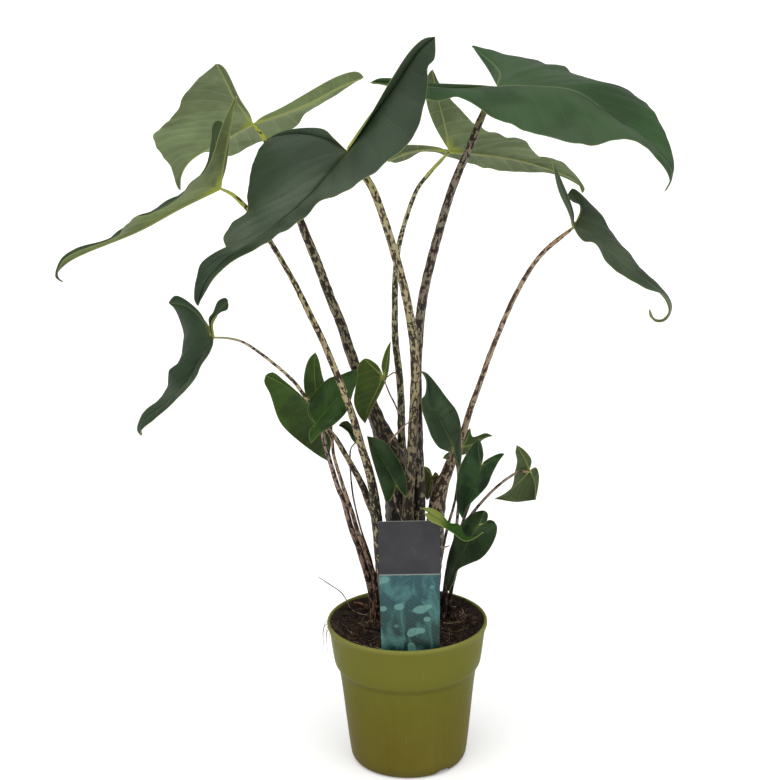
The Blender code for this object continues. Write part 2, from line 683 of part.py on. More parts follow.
def stem_top(shape, stem):
    """Middle of the stem's upper end, so close under the blade that only a small gap is left."""
    junction = np.array(shape["junction"], dtype=float)
    upward = np.zeros(3)
    for side, turn in (("left", 1), ("right", -1)):
        ribs, edges, _, _ = blade_lines(shape, side, **TOP_ROWS)
        beside_junction = slice(TOP_ROWS["spine_rows"] - 1, TOP_ROWS["spine_rows"] + 2)
        upward += upper_normals(ribs, edges, turn)[beside_junction].mean(axis=0)
    upward /= np.linalg.norm(upward)
    leaving = np.array(stem["path"][0]) - junction
    leaving /= np.linalg.norm(leaving)
    slant = math.sqrt(max(0.0, 1.0 - np.dot(leaving, upward) ** 2))
    top_radius = stem["radii"][0][1]
    return junction - (BLADE_THICKNESS / 2.0 + STEM_GAP + top_radius * slant) * upward


def make_tube(name, kind, points, radii, sides, foot):
    """A closed round tube along the points, whose own points crowd towards the start.

    The foot's points are added as they are.
    """
    length = line_lengths(np.array(points, dtype=float))[-1]
    count = max(FEWEST_TUBE_POINTS, round(length / TUBE_STEP))
    line = smooth_line(points, np.linspace(0, 1, count) ** TUBE_CROWDING)
    line = np.vstack([line, *foot])
    along = line_lengths(line)
    widths = np.interp(along / along[-1], [at for at, _ in radii], [radius for _, radius in radii])
    curve = bpy.data.curves.new(name, "CURVE")
    curve.dimensions = "3D"
    curve.bevel_depth = MM
    # A bevel of resolution n has 2n + 4 sides
    curve.bevel_resolution = sides // 2 - 2
    curve.use_fill_caps = True
    spline = curve.splines.new("POLY")
    spline.points.add(len(line) - 1)
    for point, place, width in zip(spline.points, line, widths):
        point.co = (*(place * MM), 1.0)
        point.radius = width
    return finish(bpy.data.objects.new(name, curve), kind)


def make_stem(name, stem, shape):
    above_soil = (*stem["root"], SOIL_TOP + STEM_BEND)
    points = [tuple(stem_top(shape, stem)), *stem["path"], above_soil]
    foot = [(*stem["root"], SOIL_TOP - SOCKET_DEPTH)]
    thickest = max(radius for _, radius in stem["radii"])
    sides = THICK_SIDES if thickest > THICK_STEM else THIN_SIDES
    return make_tube("stem_" + name, "stem", points, stem["radii"], sides, foot)


def turned(name, profile, sides):
    """A solid turned about Z from (radius, height) points, with flat discs at both ends."""
    bm = bmesh.new()
    rings = []
    for radius, height in profile:
        ring = []
        for step in range(sides):
            angle = 2.0 * math.pi * step / sides
            place = (radius * math.cos(angle), radius * math.sin(angle), height)
            ring.append(bm.verts.new(Vector(place) * MM))
        rings.append(ring)
    for low, high in zip(rings, rings[1:]):
        for step in range(sides):
            after = (step + 1) % sides
            bm.faces.new([low[step], low[after], high[after], high[step]])
    bm.faces.new(rings[0])
    bm.faces.new(rings[-1])
    obj = mesh_object(name, bm)
    obj.data.shade_smooth()
    obj.data.set_sharp_from_angle(angle=math.radians(SHARP_ANGLE))
    return obj


def cutter(name, bm):
    obj = mesh_object(name, bm)
    obj.hide_render = True
    obj.display_type = "WIRE"
    bpy.context.scene.collection.objects.link(obj)
    return obj


def cut(obj, tool):
    modifier = obj.modifiers.new(tool.name, "BOOLEAN")
    modifier.operation = "DIFFERENCE"
    modifier.solver = "EXACT"
    modifier.object = tool


def add_cylinder(bm, start, end, radius, sides):
    """Add a cylinder whose flat sides stay at least the radius away from its axis."""
    axis = Vector(end) - Vector(start)
    outer = radius / math.cos(math.pi / sides)
    made = bmesh.ops.create_cone(
        bm, cap_ends=True, segments=sides, radius1=outer * MM, radius2=outer * MM,
        depth=axis.length * MM,
    )
    turn = Vector((0, 0, 1)).rotation_difference(axis).to_matrix()
    bmesh.ops.rotate(bm, verts=made["verts"], matrix=turn)
    middle = (Vector(start) + Vector(end)) / 2.0
    bmesh.ops.translate(bm, verts=made["verts"], vec=middle * MM)


def drain_cutter():
    """Two wide low arches through the corner between the wall and the base."""
    radius = (DRAIN_WIDTH ** 2 / 4.0 + DRAIN_HEIGHT ** 2) / (2.0 * DRAIN_HEIGHT)
    bm = bmesh.new()
    for degrees in DRAIN_ANGLES:
        angle = math.radians(degrees)
        ends = []
        for reach in DRAIN_REACH:
            place = (reach * math.cos(angle), reach * math.sin(angle), DRAIN_HEIGHT - radius)
            ends.append(place)
        add_cylinder(bm, *ends, radius, DRAIN_SIDES)
    return cutter("drain_cutter", bm)


def make_pot():
    pot = turned("pot", [*POT_OUTSIDE, *POT_INSIDE], POT_SIDES)
    cut(pot, drain_cutter())
    return finish(pot, "pot")


def soil_radius(height):
    """Radius of the soil at a height, a small gap inside the pot's wall."""
    heights = [z for _, z in reversed(POT_INSIDE)]
    radii = [r for r, _ in reversed(POT_INSIDE)]
    return float(np.interp(height, heights, radii)) - SOIL_WALL_GAP


def add_socket(bm, place, radius, sides):
    """Add the cutter of an upright socket in the soil, a free gap wider than its piece."""
    low = (*place, SOIL_TOP - SOCKET_DEPTH - GAP)
    high = (*place, SOIL_TOP + CUTTER_ABOVE_SOIL)
    add_cylinder(bm, low, high, radius + FREE_GAP, sides)


def socket_cutter():
    """Blind sockets for the stems and the old root, and the slot of the label's spike."""
    bm = bmesh.new()
    for stem in STEMS.values():
        add_socket(bm, stem["root"], stem["radii"][-1][1], SOCKET_SIDES)
    add_socket(bm, ROOT_ANCHOR, ROOT_RADIUS, ROOT_SOCKET_SIDES)
    slot = bmesh.ops.create_cube(bm, size=MM)["verts"]
    height = SOIL_TOP + CUTTER_ABOVE_SOIL - SPIKE_BOTTOM + GAP
    size = (SPIKE_WIDTH + 2 * FREE_GAP, LABEL_THICKNESS + 2 * GAP, height)
    bmesh.ops.scale(bm, verts=slot, vec=size)
    place = Vector((*LABEL_PLACE, SPIKE_BOTTOM - GAP + height / 2.0))
    bmesh.ops.translate(bm, verts=slot, vec=place * MM)
    return cutter("socket_cutter", bm)


def make_soil():
    bottom = POT_FLOOR + GAP
    heights = [bottom] + [height for _, height in reversed(POT_INSIDE[2:-1])]
    side = [(soil_radius(height), height) for height in heights]
    edge = (soil_radius(SOIL_EDGE_HEIGHT), SOIL_EDGE_HEIGHT)
    soil = turned("soil", [*side, edge, SOIL_CROWN], POT_SIDES)
    cut(soil, socket_cutter())
    faces = soil.modifiers.new("even_faces", "TRIANGULATE")
    faces.quad_method = "BEAUTY"
    faces.ngon_method = "BEAUTY"
    return finish(soil, "soil")


def label_outline():
    """The card's outline in x and z, with round top corners and a spike below."""
    x, _ = LABEL_PLACE
    points = []
    for side, start in ((-1, 180.0), (1, 90.0)):
        corner_x = side * (LABEL_TOP_WIDTH / 2.0 - LABEL_CORNER)
        for step in range(CORNER_STEPS + 1):
            angle = math.radians(start - 90.0 * step / CORNER_STEPS)
            px = corner_x + LABEL_CORNER * math.cos(angle)
            pz = LABEL_TOP - LABEL_CORNER + LABEL_CORNER * math.sin(angle)
            points.append((x + px, pz))
    points += [
        (x + LABEL_LOW_WIDTH / 2.0, LABEL_SHOULDER),
        (x + SPIKE_WIDTH / 2.0, SPIKE_TOP),
        (x + SPIKE_TIP_WIDTH / 2.0, SPIKE_BOTTOM),
        (x - SPIKE_TIP_WIDTH / 2.0, SPIKE_BOTTOM),
        (x - SPIKE_WIDTH / 2.0, SPIKE_TOP),
        (x - LABEL_LOW_WIDTH / 2.0, LABEL_SHOULDER),
    ]
    return points


def make_label():
    bm = bmesh.new()
    front = LABEL_PLACE[1] - LABEL_THICKNESS / 2.0
    corners = [bm.verts.new(Vector((x, front, z)) * MM) for x, z in label_outline()]
    face = bm.faces.new(corners)
    made = bmesh.ops.extrude_face_region(bm, geom=[face])["geom"]
    moved = [item for item in made if isinstance(item, bmesh.types.BMVert)]
    bmesh.ops.translate(bm, verts=moved, vec=(0.0, LABEL_THICKNESS * MM, 0.0))
    return finish(mesh_object("label", bm), "label")


def make_loose_pieces():
    make_tube("dry_sheath", "dry_sheath", SHEATH_PATH, SHEATH_RADII, THIN_SIDES, [])
    foot = [(*ROOT_ANCHOR, SOIL_TOP - SOCKET_DEPTH)]
    make_tube("old_root", "old_root", ROOT_PATH, ROOT_RADII, THIN_SIDES, foot)


def main():
    clear_scene()
    make_pot()
    make_soil()
    make_label()
    make_loose_pieces()
    for name, shape in BLADES.items():
        make_blade(name, shape)
        make_stem(name, STEMS[name], shape)


main()
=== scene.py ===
"""Looks of a potted alocasia zebrina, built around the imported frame.

Lengths are in millimetres along the frame's axes and become metres through MM. The origin is
the centre of the pot's underside, +X is to the right seen from the front and +Z is up.
Colours are sRGB, with parts up to 255.
"""

import json
import math

import bmesh
import bpy
import numpy as np
from mathutils import Matrix, Vector, noise

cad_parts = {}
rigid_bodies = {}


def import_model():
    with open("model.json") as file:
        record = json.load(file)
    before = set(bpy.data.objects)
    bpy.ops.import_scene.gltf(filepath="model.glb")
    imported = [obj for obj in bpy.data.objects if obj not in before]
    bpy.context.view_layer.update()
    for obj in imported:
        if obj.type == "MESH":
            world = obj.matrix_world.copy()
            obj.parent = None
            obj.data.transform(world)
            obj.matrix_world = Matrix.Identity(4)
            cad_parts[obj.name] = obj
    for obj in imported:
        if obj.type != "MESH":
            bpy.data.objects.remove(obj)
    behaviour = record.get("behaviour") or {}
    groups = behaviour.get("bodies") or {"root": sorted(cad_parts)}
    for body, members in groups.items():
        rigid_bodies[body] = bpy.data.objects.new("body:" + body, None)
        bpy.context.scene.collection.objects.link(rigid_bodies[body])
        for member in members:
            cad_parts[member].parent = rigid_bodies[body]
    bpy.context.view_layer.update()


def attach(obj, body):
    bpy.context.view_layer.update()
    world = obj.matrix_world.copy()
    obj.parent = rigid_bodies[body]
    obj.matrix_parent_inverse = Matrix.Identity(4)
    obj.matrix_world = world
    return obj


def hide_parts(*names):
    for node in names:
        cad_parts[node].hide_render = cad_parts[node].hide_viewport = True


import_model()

MM = 0.001
SHARP_ANGLE = 55.0
CURVE_SAMPLES = 16
SHORTEST = 1e-6
SEED = 11

# Camera at the photograph's viewing angle
CAMERA_EYE = (-0.0207, -1.95, 1.0)
CAMERA_DOWN = 16.8
CAMERA_ROLL = 0.9
CAMERA_LENS = 93.33
CAMERA_SENSOR = 36.0
CAMERA_FAR = 200.0

# Studio: (strength, softness, azimuth from the front, elevation), angles in degrees
SKY_LEVEL = 0.48
SUNS = {
    "key_light": (2.0, 75.0, -20.0, 66.0),
    "fill_light": (0.4, 70.0, 60.0, 35.0),
}
FLOOR_SIZE = 60.0
FLOOR_COLOUR = (253, 253, 253)

# Pot, as in the CAD model: (radius, height)
POT_FLOOR = 1.8
POT_OUTSIDE = [
    (56.0, 0.0), (60.0, 2.6), (62.8, 10.0), (72.2, 106.5), (76.2, 109.5), (78.3, 115.5),
    (82.5, 150.0), (84.6, 152.8), (85.0, 155.5), (84.3, 157.7),
]
POT_INSIDE = [
    (82.6, 158.0), (81.3, 156.8), (81.2, 150.0), (77.0, 116.0), (70.9, 107.5), (61.5, 10.0),
    (58.9, 4.0), (55.6, POT_FLOOR),
]
POT_SIDES = 180
POT_ROUNDING = 2
# Heights between which the pot's colours change, the dust and painted shade at its foot, and
# the painted shadow line under its collar
POT_WALL_FADE = (20.0, 130.0)
POT_COLLAR_FADE = (100.0, 130.0)
POT_LIP_FADE = (152.0, 157.5)
POT_FOOT_DUST_AND_SHADE_FADE = (16.0, 0.0)
COLLAR_SHADOW_HEIGHT = 105.5
COLLAR_SHADOW_FADE = (1.2, 4.5)
# In these colours the foot is dust and painted shade, and the line is a painted shadow under the
# collar
POT_COLOURS = dict(
    low_wall=(94, 84, 28), high_wall=(96, 96, 32), collar=(103, 103, 40), clouds=(106, 103, 43),
    streaks=(108, 104, 48), lip=(142, 142, 78), foot=(74, 66, 38), line=(72, 66, 28),
    scratches=(142, 136, 96),
)
DRAIN_ANGLES = (-53.0, 127.0)
DRAIN_WIDTH = 22.0
DRAIN_HEIGHT = 7.0
DRAIN_REACH = (52.0, 72.0)
DRAIN_SIDES = 40

# Soil
SOIL_TOP = 145.0
SOIL_WALL_GAP = 0.4
SOIL_RINGS = 56
SOIL_SIDES = 160
SOIL_FLOOR_GAP = 0.3
SOIL_EDGE_RISE = 7.0
SOCKET_DEPTH = 8.0
STEM_BEND = 3.0
# Heaps and a hollow: (direction and width in degrees, how fast they fade inwards, height)
SOIL_HEAPS = [
    (190.0, 42.0, 2, 2.5), (20.0, 40.0, 2, 1.5), (80.0, 62.0, 4, 2.5), (122.0, 14.0, 3, -2.0),
]
HEAP_REACH = 80.0
RIM_RISE = 9.5
RIM_POWER = 7
# Roughness of the soil's top: (size, height)
CLODS = (9.0, 1.5)
FINE_LUMPS = (1.7, 0.35)
# Loose lumps and fibres on the soil, with the range of their sizes or lengths
CRUMBS = dict(count=1500, sizes=(0.5, 2.4))
CHIPS = dict(count=130, sizes=(1.2, 3.8))
CRUMB_REACH = 77.0
FIBRES = dict(count=90, lengths=(8.0, 30.0), spread=1.4)
FINE_ROOTS = dict(count=30, lengths=(14.0, 34.0), spread=1.0)
FIBRE_REACH = 74.0
FIBRE_LIMIT = 76.0
FIBRE_STEPS = 6
FIBRE_RADII = [(0, 0.15), (0.5, 0.35), (1, 0.12)]
# Dark and light colours of the soil's finishes, and their pale flecks
SOIL_COLOURS = {
    "soil_ground": [(24, 18, 15), (58, 45, 36)],
    "soil_crumb": [(22, 17, 15), (64, 50, 41)],
    "soil_chip": [(44, 32, 24), (92, 70, 52)],
}
SOIL_FLECKS = (112, 92, 70)

# Label
LABEL_PLACE = (2.3, -72.0)
LABEL_TOP = 295.0
LABEL_SHOULDER = 151.0
LABEL_TOP_WIDTH = 63.3
LABEL_LOW_WIDTH = 59.5
LABEL_CORNER = 3.0
CORNER_STEPS = 8
LABEL_THICKNESS = 0.8
SPIKE_WIDTH = 24.0
SPIKE_TIP_WIDTH = 12.0
SPIKE_TOP = 145.0
SPIKE_BOTTOM = 118.0
# The print: the height where its two fields meet, how sharply, and the lower field's shading
LABEL_SPLIT = 237.3
SPLIT_FADE = (237.0, 237.6)
SPLIT_LINE_FADE = (0.4, 0.8)
TEAL_FADE = (160.0, 237.0)
LABEL_COLOURS = dict(
    slate=[(46, 45, 49), (55, 53, 57)], teal=[(22, 46, 40), (40, 76, 82)], drift=(70, 116, 112),
    shapes=(98, 146, 136), rings=(30, 54, 56), lines=(120, 164, 150), edge=(150, 156, 150),
    wear=(150, 150, 148), card=[(176, 178, 172), (196, 197, 190)], stains=(150, 142, 120),
)

# Loose dry pieces
SHEATH_PATH = [(-57, 53, 153), (-51, 55, 147.6), (-44, 55, 145.6), (-38, 52, 145.9)]
SHEATH_RADII = [(0, 0.7), (0.4, 1.3), (1, 0.6)]
ROOT_PATH = [(-95, 47, 188), (-80, 49, 176), (-71, 49, 169), (-65, 46, 161), (-60, 43, 147)]
ROOT_RADII = [(0, 0.35), (0.3, 0.6), (1, 0.6)]
SHEATH_CLEARANCE = 1.4
DRY_ROWS = 24
DRY_SIDES = 12
DRY_ROUGHNESS = 0.35
# Fibres, fine roots and twigs
THIN_STEP = 2.0
THIN_ROWS = 6
THIN_ROUGHNESS = 0.3
FIBRE_SIDES = 5
TWIG_SIDES = 8
# Dark and light colours of the dry bits' finishes
DRY_COLOURS = {
    "fibre": [(86, 66, 48), (138, 114, 86)],
    "fine_root": [(150, 132, 104), (190, 174, 146)],
    "dry_sheath": [(120, 66, 48), (168, 112, 82)],
    "old_root": [(96, 74, 58), (150, 126, 104)],
    "dry_twig": [(110, 84, 62), (162, 136, 108)],
}

# Bits of dry stalk caught between the stems
TWIGS = [
    [(10, -25, 389), (-1, -27, 381), (-12, -24, 368), (-17, -14, 359)],
    [(34, -50, 258), (39, -48, 257), (44, -44, 257)],
    [(-17, 20, 419), (-13, 18, 423), (-9, 16, 425), (-6, 14, 419)],
]
TWIG_RADII = [(0, 0.5), (0.4, 1.0), (1, 0.7)]
# Roots over the lip: (direction in degrees, how far they hang, how far they stand off)
LIP_ROOTS = [(181, 22, 1.0), (186, 27, 2.5), (190, 14, 0.5), (194, 25, 1.5), (198, 9, 1.0)]
# Their way over the lip, then where they bend down and the height they hang from, as
# (distance from the pot's middle, height), and how far they turn from point to point
LIP_RISE = [(70.0, 151.0), (80.0, 158.4), (84.5, 159.3)]
LIP_BEND = (87.0, 155.0)
LIP_HANG = (87.5, 158.0)
LIP_TURN = 0.02

# Blades
SHEET = 0.5
BLADE_CAMBER = 0.08
BIG_BLADE = 110.0
BIG_DETAIL = dict(spine_rows=80, lobe_rows=40, columns=17, inner=6, veins=9, pleat=1.25, rib=1.3)
SMALL_DETAIL = dict(spine_rows=36, lobe_rows=18, columns=10, inner=4, veins=7, pleat=0.5, rib=0.6)
RIB_CROWDING = 1.9
# Small waves of the margins: wavelength, and sizes across the blade and upwards
WAVE_LENGTH = 13.0
WAVE_ACROSS = 1.5
WAVE_UP = 2.2
# Planes of the noise that the waves across and upwards are taken from
WAVE_PLANES = (0.5, 50.5)
# Where a blade is narrower than these, its waves and its pleats grow smaller
WAVED_WIDTH = 40.0
PLEATED_WIDTH = 32.0
VEIN_SLANT = 0.15
RIB_GROOVE = 0.8

# Stems
CAD_BLADE_THICKNESS = 1.0
STEM_GAP = 0.45
TOP_ROWS = dict(spine_rows=9, lobe_rows=6)
STEM_SIDES = 24
STEM_STEP = 2.5
STEM_ROUGHNESS = 0.10
# Each stem's marks start this much further along the noise
MARK_SHIFT = 137.0
# Size of the lumps on tubes, and a direction that no tube starts in
LUMP_SIZE = 7.0
ODD_DIRECTION = (0.31, 0.87, 0.39)
# The sheaths are fuller here than in the CAD model, where the stems stay clear of each other
PLAIN_SWELL = [(0, 1.0), (0.5, 1.0), (0.75, 1.15), (0.9, 1.15), (1, 1.05)]
SHEATH_SWELL = {
    "back_left": [(0, 1.0), (0.52, 1.1), (0.66, 1.8), (0.86, 1.85), (1, 1.2)],
    "small_left": [(0, 1.0), (0.55, 1.1), (0.85, 1.6), (1, 1.6)],
    "small_front": [(0, 1.0), (0.55, 1.1), (0.85, 1.5), (1, 1.5)],
}
SHEATH_LEAN = {"back_left": [(0, 0.0), (0.5, 0.0), (0.68, 5.5), (0.86, 5.5), (1, 0.0)]}

# Leaf colours: where a blade's ribs meet, its pale veins, the painted rim light along its margin,
# and the painted grey sheen on plain and on sheen-streaked leaves
GLOW = (152, 160, 58)
PALE_VEINS = (190, 200, 130)
RIM_LIGHT = (150, 156, 96)
PAINTED_SHEEN_TINT = (140, 144, 126)
STREAKED_SHEEN_TINT = (120, 152, 104)
PLAIN_PATCH = 9.0
# How the two sides differ: the colour of their ribs and its share, the veins' width, how pale they
# are, how strong painted sheen, glow and painted rim light are, the height of the side veins and
# the roughness
UPPER_SIDE = dict(
    rib=(150, 160, 100), rib_share=0.35, vein_width=0.04, pale=0.22, painted_sheen=0.42, glow=0.06,
    rim_light=0.30, vein_height=-0.5, roughness=(0.40, 0.52),
)
UNDER_SIDE = dict(
    rib=(176, 178, 104), rib_share=0.6, vein_width=0.09, pale=0.35, painted_sheen=0.3, glow=0.8,
    rim_light=0.45, vein_height=0.6, roughness=(0.52, 0.66),
)
# Gloss of a plain leaf, and how much its side veins show above
LEAF_SHINE = 0.14
TOP_VEINS = 0.2
# How much the painted sheen and the side veins show on undersides; the last is for leaves with
# streaks of painted sheen
UNDER_SHEEN = 0.3
UNDER_VEINS = 0.3
SHEEN_STREAKED_UNDER_VEINS = 0.12

